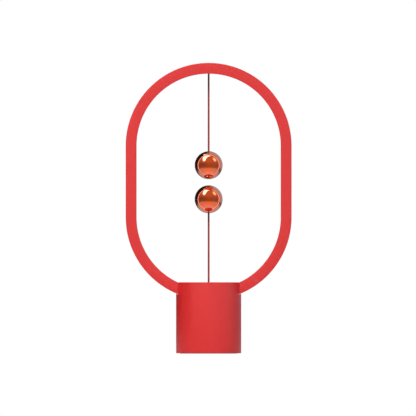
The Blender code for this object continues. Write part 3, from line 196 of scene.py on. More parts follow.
# Floor: its own colours, then what mirrors see in it, and over which places it changes
FLOOR_RADIUS = 1.7
FLOOR_SIDES = 128
FLOOR_DEEP = (0.892, 0.892, 0.888)
FLOOR_PALE = (0.90, 0.90, 0.89)
FLOOR_ROSY = (0.86, 0.55, 0.57)
FLOOR_ORANGE = (0.91, 0.35, 0.145)
FLOOR_ASIDE = (0.70, 0.42, 0.30)
FLOOR_BEHIND = (0.56, 0.56, 0.62)
FLOOR_FAR_BEHIND = (0.10, 0.10, 0.11)
FLOOR_NEAR_REACH = (0.06, 0.30)
FLOOR_ASIDE_REACH = (0.06, 0.34)
FLOOR_BEHIND_REACH = (-0.02, 0.16)
FLOOR_FAR_REACH = (0.30, 0.62)
FLOOR_FRONT_REACH = (-0.10, 0.10)
FLOOR_RIM_REACH = (0.34, 0.95)
FLOOR_FADE_REACH = (0.35, 1.6)

# Wall whose light only the red plastic's gloss picks up
WALL_STRENGTH = 1.2
WALL_DISTANCE = 1.5
WALL_STEPS = 32
WALL_FIRST = math.radians(-66)
WALL_LAST = math.radians(92)
WALL_BOTTOM = -1.0
WALL_TOP = 1.6

# Cards that only mirrors show. An outline is a list of places on a mirror ball
CARD_STEPS = 8
CARD_DISTANCE = 1.1
WINDOW_CARD = (
    (-0.36, 0.80),
    (-0.16, 0.82),
    (0.02, 0.80),
    (0.14, 0.74),
    (0.20, 0.69),
    (0.05, 0.65),
    (-0.10, 0.56),
    (-0.19, 0.42),
    (-0.25, 0.30),
    (-0.34, 0.24),
    (-0.42, 0.28),
    (-0.46, 0.38),
    (-0.44, 0.52),
    (-0.39, 0.66),
)
LAMP_CARD = (
    (0.24, 0.60),
    (0.36, 0.61),
    (0.49, 0.51),
    (0.58, 0.38),
    (0.58, 0.25),
    (0.46, 0.20),
    (0.34, 0.30),
    (0.24, 0.45),
)

# World: its plain light, what mirrors see in it, and over which directions it changes
AMBIENT_LEFT = 0.08
AMBIENT_RIGHT = 0.17
AMBIENT_BEHIND = -0.10
WORLD_FRONT = (0.52, 0.20, 0.085)
WORLD_CLOUD = (0.60, 0.13, 0.05)
WORLD_BAND = (0.33, 0.13, 0.03)
WORLD_BAND_LEFT = (0.21, 0.095, 0.065)
WORLD_BAND_RIGHT = (0.25, 0.15, 0.12)
WORLD_BACK = (0.50, 0.50, 0.58)
WORLD_BACK_LEFT = (0.02, 0.015, 0.018)
WORLD_BEHIND_SPAN = (-0.10, 0.30)
WORLD_LEFT_SPAN = (0.16, 0.46)
WORLD_LEFT_SLANT = 0.46
WORLD_HIGH_SPAN = (0.10, 0.60)
WORLD_SIDEWAYS_SPAN = (-0.85, 0.10)
WORLD_RIGHT_SPAN = (0.35, 0.95)
WORLD_CLOUD_SPAN = (0.42, 0.68)
WORLD_CLOUD_SHARE = 0.45

# Lamps: name, place, target, size and power in watts
BALLS = (0, 0, 0.22)
FOOT = (0, 0, 0)
LIGHTS = (
    ("key", (-0.86, -2.12, 1.2), BALLS, (1.0, 1.0), 36.0),
    ("fill", (0.4, -2.2, 0.6), BALLS, (1.2, 1.2), 2.5),
    ("top", (0.1, -0.1, 1.4), FOOT, (1.0, 1.0), 8.0),
    ("back", (0.0, 1.9, 0.9), BALLS, (0.6, 0.6), 16.0),
)


def make_camera():
    data = bpy.data.cameras.new("camera")
    data.type = "ORTHO"
    data.ortho_scale = PHOTO_WIDTH
    data.clip_end = 10 * CAMERA_DISTANCE
    camera = bpy.data.objects.new("camera", data)
    camera.location = (VIEW_X, -CAMERA_DISTANCE, VIEW_Z)
    camera.rotation_euler = (QUARTER, 0, 0)
    bpy.context.scene.collection.objects.link(camera)
    bpy.context.scene.camera = camera


make_camera()


# Node materials

def new_tree(name):
    made = bpy.data.materials.new(name)
    made.use_nodes = True
    tree = made.node_tree
    tree.nodes.clear()
    return made, tree


def put(tree, kind, inputs=None, **settings):
    """A node with its settings; each input is a value or another node's output."""
    node = tree.nodes.new(kind)
    for key, value in settings.items():
        setattr(node, key, value)
    for key, value in (inputs or {}).items():
        if isinstance(value, bpy.types.NodeSocket):
            tree.links.new(value, node.inputs[key])
        else:
            node.inputs[key].default_value = value
    return node


def noise(tree, where, scale, detail=4.0, rough=0.55):
    inputs = {"Vector": where, "Scale": scale, "Detail": detail, "Roughness": rough}
    return put(tree, "ShaderNodeTexNoise", inputs).outputs["Fac"]


def span(tree, value, low, high, source=(0.0, 1.0), smooth=False):
    inputs = {"Value": value, "From Min": source[0], "From Max": source[1], "To Min": low, "To Max": high}
    kind = "SMOOTHSTEP" if smooth else "LINEAR"
    return put(tree, "ShaderNodeMapRange", inputs, interpolation_type=kind).outputs["Result"]


def rise(tree, value, between):
    """0 up to the first place, 1 from the second on, and smooth between them."""
    return span(tree, value, 0.0, 1.0, between, smooth=True)


def fall(tree, value, between):
    """1 up to the first place, 0 from the second on, and smooth between them."""
    return span(tree, value, 1.0, 0.0, between, smooth=True)


def maths(tree, operation, first, second=0.0, third=0.0):
    return put(tree, "ShaderNodeMath", {0: first, 1: second, 2: third}, operation=operation).outputs[0]


def blend_colour(tree, share, first, second):
    node = put(tree, "ShaderNodeMix", data_type="RGBA", blend_type="MIX")
    for index, value in ((0, share), (6, first), (7, second)):
        if isinstance(value, bpy.types.NodeSocket):
            tree.links.new(value, node.inputs[index])
        else:
            node.inputs[index].default_value = value if index == 0 else (*value, 1.0)
    return node.outputs[2]


def bump(tree, height, strength, distance, before=None):
    inputs = {"Height": height, "Strength": strength, "Distance": distance}
    if before is not None:
        inputs["Normal"] = before
    return put(tree, "ShaderNodeBump", inputs).outputs["Normal"]


def finish_material(tree, **inputs):
    names = {key.replace("_", " "): value for key, value in inputs.items()}
    shader = put(tree, "ShaderNodeBsdfPrincipled", names)
    out = put(tree, "ShaderNodeOutputMaterial")
    tree.links.new(shader.outputs["BSDF"], out.inputs["Surface"])


def object_place(tree):
    return put(tree, "ShaderNodeTexCoord").outputs["Object"]


def colour4(colour):
    return (*colour, 1.0)


def cells(tree, place, scale):
    """The distance to the nearest edge between cells."""
    inputs = {"Vector": place, "Scale": scale}
    return put(tree, "ShaderNodeTexVoronoi", inputs, feature="DISTANCE_TO_EDGE").outputs["Distance"]


def plastic(name, dark, light, roughness, grain=0.25, grain_scale=2600.0):
    """Moulded plastic: slow colour drift, fine eroded grain, uneven gloss and paler worn edges."""
    made, tree = new_tree(name)
    place = object_place(tree)
    drift = noise(tree, place, scale=14.0, detail=3.0)
    fine = noise(tree, place, scale=grain_scale, detail=2.0, rough=0.6)
    slow = noise(tree, place, scale=90.0, detail=3.0)
    colour = blend_colour(tree, rise(tree, drift, (0.3, 0.7)), dark, light)
    speck = span(tree, fine, 0.0, 0.22, (0.55, 0.8), smooth=True)
    colour = blend_colour(tree, speck, colour, light)
    edge = put(tree, "ShaderNodeNewGeometry").outputs["Pointiness"]
    worn = span(tree, edge, 0.0, 0.16, (0.56, 0.72), smooth=True)
    worn = maths(tree, "MULTIPLY", worn, span(tree, slow, 0.2, 1.0, (0.35, 0.65), smooth=True))
    pale = tuple(min(1.0, WORN_SHARE * part + WORN_LIFT) for part in light)
    colour = blend_colour(tree, worn, colour, pale)
    rough = span(tree, slow, roughness - 0.04, roughness + 0.05, (0.3, 0.7))
    normal = bump(tree, fine, strength=grain, distance=GRAIN_DEPTH)
    normal = bump(tree, slow, strength=0.04, distance=WAVE_DEPTH, before=normal)
    finish_material(
        tree,
        Base_Color=colour,
        Roughness=rough,
        Normal=normal,
        Specular_IOR_Level=PLASTIC_SPECULAR,
    )
    return made


def metal(name, dark, light, roughness):
    """Machined metal: a grain drawn along one axis, with a little tarnish."""
    made, tree = new_tree(name)
    place = object_place(tree)
    stretched = put(tree, "ShaderNodeMapping", {"Vector": place, "Scale": METAL_STRETCH}).outputs["Vector"]
    lines = noise(tree, stretched, scale=420.0, detail=3.0, rough=0.6)
    tarnish = noise(tree, place, scale=160.0, detail=5.0)
    colour = blend_colour(tree, rise(tree, tarnish, (0.35, 0.65)), dark, light)
    rough = span(tree, lines, roughness - 0.05, roughness + 0.08, (0.3, 0.7))
    normal = bump(tree, lines, strength=0.08, distance=SCRATCH_DEPTH)
    finish_material(tree, Base_Color=colour, Metallic=1.0, Roughness=rough, Normal=normal)
    return made


def polished_copper(name):
    """Mirror-bright plating: a faint haze, hairlines all ways and a slightly deeper tone in places."""
    made, tree = new_tree(name)
    place = object_place(tree)
    haze = noise(tree, place, scale=55.0, detail=4.0)
    tone = noise(tree, place, scale=22.0, detail=2.0)
    line = fall(tree, cells(tree, place, scale=260.0), (0.0, 0.012))
    colour = blend_colour(tree, rise(tree, tone, (0.35, 0.65)), COPPER_DEEP, COPPER_LIGHT)
    rough = span(tree, haze, 0.015, 0.05, (0.35, 0.7), smooth=True)
    rough = maths(tree, "ADD", rough, maths(tree, "MULTIPLY", line, 0.012))
    normal = bump(tree, haze, strength=0.012, distance=HAZE_DEPTH)
    finish_material(tree, Base_Color=colour, Metallic=1.0, Roughness=rough, Normal=normal)
    return made


def braid(name):
    """Red braided thread. Its UV map holds the place round the string and the height up the lamp."""
    made, tree = new_tree(name)
    uv = put(tree, "ShaderNodeUVMap", uv_map="string").outputs["UV"]
    parts = put(tree, "ShaderNodeSeparateXYZ", {"Vector": uv})
    around = maths(tree, "MULTIPLY", parts.outputs["X"], HALF_TURN * BRAID_STRANDS)
    height = parts.outputs["Y"]
    climb = maths(tree, "MULTIPLY", height, HALF_TURN * BRAID_STRANDS / BRAID_PITCH)
    left = maths(tree, "ABSOLUTE", maths(tree, "SINE", maths(tree, "ADD", around, climb)))
    right = maths(tree, "ABSOLUTE", maths(tree, "SINE", maths(tree, "SUBTRACT", around, climb)))
    strand = maths(tree, "MAXIMUM", left, right)
    place = object_place(tree)
    fibre = noise(tree, place, scale=2600.0, detail=3.0)
    fuzz = noise(tree, place, scale=700.0, detail=3.0)
    colour = blend_colour(tree, rise(tree, strand, (0.5, 1.0)), STRING_DEEP, STRING_LIGHT)
    warm = span(tree, fuzz, 0.0, 0.35, (0.45, 0.75), smooth=True)
    colour = blend_colour(tree, warm, colour, STRING_WARM)
    # Painted shade: the string darkens just under the ring and just under the lower ball, where those
    # parts shade it
    upper = rise(tree, height, UPPER_PAINTED_SHADE_SPAN)
    lower_rise = rise(tree, height, LOWER_PAINTED_SHADE_SPAN)
    lower_stop = fall(tree, height, LOWER_PAINTED_SHADE_STOP)
    dark = maths(tree, "MAXIMUM", upper, maths(tree, "MULTIPLY", lower_rise, lower_stop))
    colour = blend_colour(tree, maths(tree, "MULTIPLY", dark, STRING_PAINTED_SHADE_SHARE), colour, STRING_PAINTED_SHADE)
    relief = maths(tree, "ADD", strand, maths(tree, "MULTIPLY", fibre, 0.5))
    normal = bump(tree, relief, strength=0.5, distance=BRAID_DEPTH)
    rough = span(tree, fibre, 0.62, 0.85, (0.3, 0.7))
    finish_material(
        tree,
        Base_Color=colour,
        Roughness=rough,
        Normal=normal,
        Specular_IOR_Level=STRING_SPECULAR,
    )
    return made


def diffuser_material(name):
    """Frosted light guide that glows softly, a little unevenly and less towards its edges."""
    made, tree = new_tree(name)
    place = object_place(tree)
    cloud = noise(tree, place, scale=120.0, detail=4.0)
    frost = noise(tree, place, scale=1900.0, detail=2.0)
    colour = blend_colour(tree, rise(tree, cloud, (0.35, 0.65)), DIFFUSER_DEEP, DIFFUSER_PALE)
    glow = blend_colour(tree, rise(tree, cloud, (0.3, 0.7)), GLOW_WARM, GLOW_PALE)
    across = put(tree, "ShaderNodeSeparateXYZ", {"Vector": place}).outputs["Y"]
    edge = rise(tree, maths(tree, "ABSOLUTE", across), (GLOW_EDGE_START, DIFFUSER_HALF_NOSE))
    glow = blend_colour(tree, edge, glow, GLOW_EDGE)
    rough = span(tree, frost, 0.42, 0.58, (0.3, 0.7))
    normal = bump(tree, frost, strength=0.25, distance=FROST_DEPTH)
    finish_material(
        tree,
        Base_Color=colour,
        Roughness=rough,
        Normal=normal,
        Emission_Color=glow,
        Emission_Strength=GLOW_STRENGTH,
    )
    return made


def board_material(name, dark, light):
    """Circuit board: lacquer with copper tracks showing through as paler lines."""
    made, tree = new_tree(name)
    place = object_place(tree)
    line = fall(tree, cells(tree, place, scale=420.0), (0.02, 0.08))
    drift = noise(tree, place, scale=200.0)
    colour = blend_colour(tree, line, dark, light)
    rough = span(tree, drift, 0.25, 0.4, (0.3, 0.7))
    normal = bump(tree, line, strength=0.3, distance=TRACK_DEPTH)
    finish_material(tree, Base_Color=colour, Roughness=rough, Normal=normal)
    return made


COARSE = {"grain": 0.5, "grain_scale": 1500.0}
RED = plastic("red_satin_plastic", (0.65, 0.016, 0.017), (0.67, 0.019, 0.020), 0.36, **COARSE)
COPPER = polished_copper("polished_copper")
BRAID = braid("red_braid")
DIFFUSER = diffuser_material("frosted_diffuser")
GREY = plastic("grey_plastic", (0.20, 0.20, 0.21), (0.32, 0.32, 0.33), 0.5)
BLACK = plastic("black_plastic", (0.012, 0.012, 0.013), (0.030, 0.030, 0.032), 0.42)
RUBBER = plastic("dark_rubber", (0.014, 0.014, 0.015), (0.034, 0.034, 0.036), 0.8, **COARSE)
BOARD = board_material("green_board", (0.010, 0.085, 0.030), (0.05, 0.24, 0.09))
STRIP = board_material("white_light_strip", (0.62, 0.62, 0.58), (0.80, 0.79, 0.72))
STEEL = metal("steel", (0.40, 0.40, 0.41), (0.62, 0.62, 0.63), 0.26)
MAGNET = metal("nickel_magnet", (0.48, 0.46, 0.42), (0.66, 0.64, 0.60), 0.16)
WIRE_RED = plastic("red_wire", (0.40, 0.012, 0.012), (0.60, 0.030, 0.030), 0.38)
WIRE_BLACK = plastic("black_wire", (0.010, 0.010, 0.010), (0.026, 0.026, 0.026), 0.38)
WIRE_WHITE = plastic("white_wire", (0.60, 0.60, 0.59), (0.78, 0.78, 0.77), 0.38)
PALE = plastic("pale_plastic", (0.42, 0.41, 0.39), (0.56, 0.55, 0.52), 0.35)

KEPT = {
    GREY: (
        "inner_frame",
        "ring_end_plug_left",
        "ring_end_plug_right",
        "upper_ball_core",
        "lower_ball_core",
    ),
    BLACK: ("slider_guide", "pull_slider", "microswitch_body", "bottom_plate", "usb_tongue"),
    RUBBER: ("foot_pad", "switch_plunger"),
    BOARD: ("control_board",),
    STRIP: ("led_strip",),
    STEEL: (
        "ballast_weight",
        "usb_shell",
        "switch_lever",
        "pull_spring",
        "upper_string_crimp",
        "lower_string_crimp",
    ),
    MAGNET: ("upper_ball_magnet", "lower_ball_magnet"),
    WIRE_RED: ("led_wire_red", "switch_wire_red"),
    WIRE_BLACK: ("led_wire_black",),
    WIRE_WHITE: ("switch_wire_white",),
}


def dress_kept_nodes():
    dressed = {name: finish for finish, names in KEPT.items() for name in names}
    for name, obj in NODES.items():
        finish = dressed.get(name, STEEL if "screw" in name else None)
        if finish is not None:
            obj.data.materials.clear()
            obj.data.materials.append(finish)


dress_kept_nodes()


# Mesh making

def add(name, mesh, finish):
    obj = bpy.data.objects.new(name, mesh)
    mesh.materials.clear()
    mesh.materials.append(finish)
    bpy.context.scene.collection.objects.link(obj)
    return obj


def from_bmesh(name, work):
    bmesh.ops.recalc_face_normals(work, faces=work.faces)
    mesh = bpy.data.meshes.new(name)
    work.to_mesh(mesh)
    work.free()
    mesh.shade_smooth()
    mesh.set_sharp_from_angle(angle=SHARP_ANGLE)
    return mesh


def arc(centre, radius, first, last, steps):
    turns = [first + (last - first) * i / steps for i in range(steps + 1)]
    return [(centre[0] + radius * math.cos(t), centre[1] + radius * math.sin(t)) for t in turns]


def rounded(points, radii):
    """A closed outline with each corner rounded to its radius, where that is more than zero."""
    out = []
    count = len(points)
    for i, (point, radius) in enumerate(zip(points, radii)):
        here = Vector(point)
        before = Vector(points[i - 1]) - here
        after = Vector(points[(i + 1) % count]) - here
        if radius <= 0:
            out.append(tuple(here))
            continue
        half = before.angle(after) / 2
        reach = radius / math.tan(half)
        start = here + before.normalized() * reach
        end = here + after.normalized() * reach
        inwards = (before.normalized() + after.normalized()).normalized()
        middle = here + inwards * (radius / math.sin(half))
        first = start - middle
        last = end - middle
        swing = first.angle_signed(last)
        for step in range(FILLET_STEPS + 1):
            turned = first.copy()
            turned.rotate(Matrix.Rotation(-swing * step / FILLET_STEPS, 2))
            out.append(tuple(middle + turned))
    return out


def lathe(name, profile, finish, steps=TURN_STEPS, centre=(0, 0, 0)):
    """A closed (radius, height) outline turned about the vertical line through centre."""
    work = bmesh.new()
    x, y, z = centre
    rings = []
    for i in range(steps):
        turn = FULL_TURN * i / steps
        points = [(x + r * math.cos(turn), y + r * math.sin(turn), z + h) for r, h in profile]
        rings.append([work.verts.new(point) for point in points])
    for i in range(steps):
        here = rings[i]
        after = rings[(i + 1) % steps]
        for j in range(len(profile)):
            k = (j + 1) % len(profile)
            if profile[j][0] > 0 or profile[k][0] > 0:
                work.faces.new((here[j], after[j], after[k], here[k]))
    bmesh.ops.remove_doubles(work, verts=work.verts, dist=WELD)
    bmesh.ops.dissolve_degenerate(work, edges=work.edges, dist=SPECK)
    return add(name, from_bmesh(name, work), finish)


def inner_line(centre_z, turn):
    """A place on the ring's inner face line with its outward direction, both as (x, z)."""
    direction = Vector((math.sin(turn), math.cos(turn)))
    return Vector((0, centre_z)) + direction * RING_INNER, direction


def mirrored(stations):
    return [(Vector((-p.x, p.y)), Vector((-n.x, n.y))) for p, n in stations]


def lower_right(first_turn, last_turn, steps):
    """Stations on the ring's lower right bend, by turns from straight down."""
    swing = last_turn - first_turn
    turns = [HALF_TURN - first_turn - swing * i / steps for i in range(steps + 1)]
    return [inner_line(RING_LOWER_CENTRE, turn) for turn in turns]


def ring_stations():
    """Stations from the ring's right end up over the top to its left end."""
    right = lower_right(RING_END_TURN, QUARTER, RING_STEPS // 2)
    turns = [QUARTER - HALF_TURN * i / RING_STEPS for i in range(RING_STEPS + 1)]
    top = [inner_line(RING_UPPER_CENTRE, turn) for turn in turns]
    return right + top + list(reversed(mirrored(right)))


def sweep(name, stations, section, finish):
    """A closed (out, depth) section carried along stations, closed at both ends."""
    work = bmesh.new()
    rows = []
    for point, direction in stations:
        row = []
        for out, depth in section:
            place = point + direction * out
            row.append(work.verts.new((place.x, depth, place.y)))
        rows.append(row)
    size = len(section)
    for here, after in zip(rows, rows[1:]):
        for j in range(size):
            k = (j + 1) % size
            work.faces.new((here[j], after[j], after[k], here[k]))
    work.faces.new(rows[0])
    work.faces.new(list(reversed(rows[-1])))
    return add(name, from_bmesh(name, work), finish)


def cuboid(name, low, high):
    low = Vector(low)
    high = Vector(high)
    work = bmesh.new()
    place = Matrix.Translation((low + high) / 2) @ Matrix.Diagonal((*(high - low), 1))
    bmesh.ops.create_cube(work, size=1, matrix=place)
    return add(name, from_bmesh(name, work), RED)


def prism(name, outline, start_y, end_y):
    work = bmesh.new()
    face = work.faces.new([work.verts.new((x, start_y, z)) for x, z in outline])
    grown = bmesh.ops.extrude_face_region(work, geom=[face])
    moved = [item for item in grown["geom"] if isinstance(item, bmesh.types.BMVert)]
    bmesh.ops.translate(work, verts=moved, vec=(0, end_y - start_y, 0))
    return add(name, from_bmesh(name, work), RED)


def rod(name, radius, low, high):
    work = bmesh.new()
    low = Vector(low)
    high = Vector(high)
    along = high - low
    turn = Vector((0, 0, 1)).rotation_difference(along).to_matrix().to_4x4()
    place = Matrix.Translation((low + high) / 2) @ turn
    bmesh.ops.create_cone(
        work,
        cap_ends=True,
        segments=ROD_SIDES,
        radius1=radius,
        radius2=radius,
        depth=along.length,
        matrix=place,
    )
    return add(name, from_bmesh(name, work), RED)


def cut(obj, *cutters):
    """Takes the cutters out of the object and removes them."""
    for cutter in cutters:
        step = obj.modifiers.new("cut", "BOOLEAN")
        step.operation = "DIFFERENCE"
        step.solver = "EXACT"
        step.object = cutter
    bpy.context.view_layer.update()
    graph = bpy.context.evaluated_depsgraph_get()
    mesh = bpy.data.meshes.new_from_object(obj.evaluated_get(graph))
    finish = obj.data.materials[0]
    obj.modifiers.clear()
    obj.data = mesh
    mesh.materials.clear()
    mesh.materials.append(finish)
    for polygon in mesh.polygons:
        polygon.material_index = 0
    mesh.shade_smooth()
    mesh.set_sharp_from_angle(angle=SHARP_ANGLE)
    for cutter in cutters:
        bpy.data.objects.remove(cutter)


# Ring

def half_section(front):
    """One half of the ring's hollow section, with its outer edges and its lip rounded."""
    lip = DIFFUSER_HALF_NOSE + FIT
    face = RING_HALF_DEPTH
    split = SEAM
    points = [
        (0, lip),
        (0, face),
        (RING_BAND, face),
        (RING_BAND, split),
        (RING_BAND - RING_WALL, split),
        (RING_BAND - RING_WALL, face - RING_WALL),
        (RING_WALL, face - RING_WALL),
        (RING_WALL, lip),
    ]
    radii = [LIP_EDGE, RING_EDGE, RING_EDGE, 0, 0, RING_EDGE, RING_EDGE, 0]
    return [(out, front * depth) for out, depth in rounded(points, radii)]


def make_ring():
    stations = ring_stations()
    for name, node, front in (
        ("ring_front_casing", "ring_front_shell", -1),
        ("ring_rear_casing", "ring_rear_shell", 1),
    ):
        piece = sweep(name, stations, half_section(front), RED)
        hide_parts(node)
        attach(piece, "lamp_body")

    behind = RING_WALL + FIT
    nose = DIFFUSER_HALF_NOSE
    flange = DIFFUSER_HALF_FLANGE
    points = [
        (DIFFUSER_RECESS, -nose),
        (behind, -nose),
        (behind, -flange),
        (behind + DIFFUSER_FLANGE, -flange),
        (behind + DIFFUSER_FLANGE, flange),
        (behind, flange),
        (behind, nose),
        (DIFFUSER_RECESS, nose),
    ]
    section = rounded(points, [LIP_EDGE, 0, 0, 0, 0, 0, 0, LIP_EDGE])
    diffuser = sweep("glowing_diffuser", stations, section, DIFFUSER)
    under = (0, 0, RING_INNER_TOP - OVERRUN)
    over = (0, 0, RING_INNER_TOP + 2 * OVERRUN)
    cut(diffuser, rod("hole", GROMMET_ROOM, under, over))
    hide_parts("diffuser_strip")
    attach(diffuser, "lamp_body")


def ring_room():
    """The space round the ring's ends, which the base and its cover leave open."""
    half = RING_HALF_DEPTH + FIT
    section = [(-FIT, -half), (RING_BAND + FIT, -half), (RING_BAND + FIT, half), (-FIT, half)]
    first = RING_END_TURN - OVERRUN / RING_MIDDLE
    last = math.asin((BASE_RADIUS + 2 * OVERRUN) / RING_INNER)
    trim = BASE_RADIUS - RIM_GAP
    low = RING_LOWER_CENTRE - math.sqrt(RING_MIDDLE**2 - trim**2)
    made = []
    right = lower_right(first, last, ROOM_STEPS)
    for side, stations in ((1, right), (-1, mirrored(right))):
        made.append(sweep("ring_room", stations, section, RED))
        edges = (side * trim, side * (BASE_RADIUS + OVERRUN))
        top = BASE_TOP + OVERRUN
        made.append(cuboid("rim_room", (min(edges), -half, low), (max(edges), half, top)))
    return made


def make_base():
    inner = BASE_RADIUS - BASE_WALL
    ledge = inner - LEDGE_REACH
    rabbet = inner + COVER_LEDGE
    seat = BASE_TOP - COVER_THICKNESS - FIT
    bottom = BASE_LOW.z
    points = [
        (rabbet, BASE_TOP),
        (BASE_RADIUS, BASE_TOP),
        (BASE_RADIUS, bottom),
        (inner, bottom),
        (inner, LEDGE_LOW),
        (ledge, LEDGE_LOW),
        (ledge, LEDGE_HIGH),
        (inner, LEDGE_HIGH),
        (inner, seat),
        (rabbet, seat),
    ]
    radii = [RABBET_EDGE, BASE_EDGE, BASE_EDGE, 0, 0, 0, 0, 0, 0, 0]
    shell = lathe("base_casing", rounded(points, radii), RED)
    window_z = sum(corner.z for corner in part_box("usb_shell")) / 2
    radius = WINDOW_HEIGHT / 2
    middle = WINDOW_WIDTH / 2 - radius
    right = arc((middle, 0), radius, -QUARTER, QUARTER, WINDOW_STEPS)
    outline = [(x, window_z + z) for x, z in right + [(-x, -z) for x, z in right]]
    window = prism("window", outline, inner - OVERRUN, BASE_RADIUS + OVERRUN)
    cut(shell, *ring_room(), window)
    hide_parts("base_shell")
    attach(shell, "lamp_body")

    hole = EYELET_NECK + FIT
    recess = EYELET_HIGH.x + FIT
    recess_floor = EYELET_HIGH.z - EYELET_FLANGE - FIT
    under = COVER_LOW.z
    cover_points = [
        (recess, COVER_HIGH.z),
        (rabbet - FIT, COVER_HIGH.z),
        (rabbet - FIT, under),
        (hole, under),
        (hole, recess_floor),
        (recess, recess_floor),
    ]
    cover = lathe("base_cover", rounded(cover_points, [COVER_HOLE_EDGE, COVER_EDGE, 0, 0, 0, 0]), RED)
    cut(cover, *ring_room())
    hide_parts("top_cover")
    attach(cover, "lamp_body")

    top = EYELET_HIGH.z
    flange = EYELET_HIGH.x
    eyelet_points = [
        (STRING_HOLE, top),
        (flange, top),
        (flange, top - EYELET_FLANGE),
        (EYELET_NECK, top - EYELET_FLANGE),
        (EYELET_NECK, EYELET_LOW.z),
        (STRING_HOLE, EYELET_LOW.z),
    ]
    radii = [EYELET_EDGE, EYELET_EDGE, 0, 0, 0, EYELET_FOOT_EDGE]
    eyelet = lathe("rolled_eyelet", rounded(eyelet_points, radii), STEEL, EYELET_STEPS)
    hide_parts("string_eyelet")
    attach(eyelet, "lamp_body")

    low = GROMMET_LOW.z
    high = GROMMET_HIGH.z
    grommet_points = [
        (STRING_HOLE, high),
        (GROMMET_HIGH.x, high),
        (GROMMET_HIGH.x, high - GROMMET_FLANGE),
        (GROMMET_NECK, high - GROMMET_FLANGE),
        (GROMMET_NECK, low),
        (STRING_HOLE, low),
    ]
    radii = [0, 0, 0, 0, GROMMET_EDGE, GROMMET_EDGE]
    grommet = lathe("pale_grommet", rounded(grommet_points, radii), PALE, GROMMET_STEPS)
    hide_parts("upper_string_grommet")
    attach(grommet, "lamp_body")


# Balls

def make_ball(label, up):
    """Two polished half shells round the string's hole. up is 1 where the string is above, or else -1."""
    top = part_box(f"{label}_upper_shell")[1].z
    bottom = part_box(f"{label}_lower_shell")[0].z
    centre_z = (top + bottom) / 2
    inner = BALL_RADIUS - SHELL_WALL
    hole_turn = math.asin(BALL_HOLE / BALL_RADIUS)
    inner_hole_turn = math.asin(BALL_HOLE / inner)

    def down(radius, first, last, steps):
        turns = [first + (last - first) * i / steps for i in range(steps + 1)]
        return [(max(0.0, radius * math.sin(t)), radius * math.cos(t)) for t in turns]

    def shell(name, node, first, inner_first, side):
        equator = math.acos(SEAM / BALL_RADIUS)
        outer_line = down(BALL_RADIUS, first, equator, BALL_RINGS)
        lining = down(inner, math.acos(SEAM / inner), inner_first, BALL_RINGS // 2)
        profile = [(r, side * h) for r, h in outer_line + lining]
        piece = lathe(name, profile, COPPER, BALL_TURN_STEPS, (0, 0, centre_z))
        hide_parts(node)
        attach(piece, label)

    string_side = "upper" if up > 0 else "lower"
    far_side = "lower" if up > 0 else "upper"
    shell(f"{label}_string_side", f"{label}_{string_side}_shell", hole_turn, inner_hole_turn, up)
    shell(f"{label}_far_side", f"{label}_{far_side}_shell", 0.0, 0.0, -up)


# String

def string_row(work, z):
    """One ring of points round the string, which stands out where a strand passes."""
    climb = FULL_TURN * z / BRAID_PITCH
    half = BRAID_STRANDS / 2
    row = []
    for j in range(STRING_SIDES):
        turn = FULL_TURN * j / STRING_SIDES
        strand = max(abs(math.sin(half * (turn + climb))), abs(math.sin(half * (turn - climb))))
        radius = STRING_RADIUS + BRAID_HEIGHT * (strand - BRAID_LEVEL_SHARE)
        row.append(work.verts.new((radius * math.cos(turn), radius * math.sin(turn), z)))
    return row


def string_piece(name, low, high):
    """A braided stretch of string on the lamp's axis, with its UV map as (round, height in metres)."""
    count = max(2, round((high - low) / STRING_RING_STEP))
    heights = [low + (high - low) * i / count for i in range(count + 1)]
    work = bmesh.new()
    layer = work.loops.layers.uv.new("string")
    rows = [string_row(work, z) for z in heights]
    for i in range(count):
        here, after = rows[i:i + 2]
        z_low, z_high = heights[i:i + 2]
        for j in range(STRING_SIDES):
            k = (j + 1) % STRING_SIDES
            face = work.faces.new((here[j], here[k], after[k], after[j]))
            corners = ((j, z_low), (j + 1, z_low), (j + 1, z_high), (j, z_high))
            for loop, (u, v) in zip(face.loops, corners):
                loop[layer].uv = (u / STRING_SIDES, v)
    for row, z in ((list(reversed(rows[0])), low), (rows[-1], high)):
        face = work.faces.new(row)
        for loop in face.loops:
            loop[layer].uv = (0, z)
    piece = add(name, from_bmesh(name, work), BRAID)
    return piece


def knot_profile():
    turns = [HALF_TURN * i / KNOT_RINGS for i in range(KNOT_RINGS + 1)]
    return [(max(0.0, KNOT_RADIUS * math.sin(t)), UPPER_KNOT_Z + KNOT_RADIUS * math.cos(t)) for t in turns]


def make_strings():
    knot = lathe("string_knot", knot_profile(), WIRE_RED, KNOT_TURN_STEPS)
    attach(knot, "lamp_body")
    top = string_piece("string_upper_top", UPPER_MEET, UPPER_KNOT_Z)
    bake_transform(top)
    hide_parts("upper_string_root", "upper_string_first")
    hang = string_piece("string_upper_hanging", UPPER_END, UPPER_MEET)
    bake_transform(hang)
    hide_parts("upper_string_second")

    tail = string_piece("string_lower_tail", LOWER_FOOT, LOWER_MEET_A)
    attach(tail, "slider")
    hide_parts("lower_string_tail")
    exit_piece = string_piece("string_lower_exit", LOWER_MEET_A, LOWER_MEET_B)
    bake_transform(exit_piece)
    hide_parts("lower_string_first")
    rising = string_piece("string_lower_rise", LOWER_MEET_B, LOWER_MEET_C)
    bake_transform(rising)
    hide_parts("lower_string_second")
    taut = string_piece("string_lower_taut", LOWER_MEET_C, LOWER_END)
    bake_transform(taut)
    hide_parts("lower_string_third")


make_strings()
make_ring()
make_base()
make_ball("upper_ball", 1)
make_ball("lower_ball", -1)


# Studio

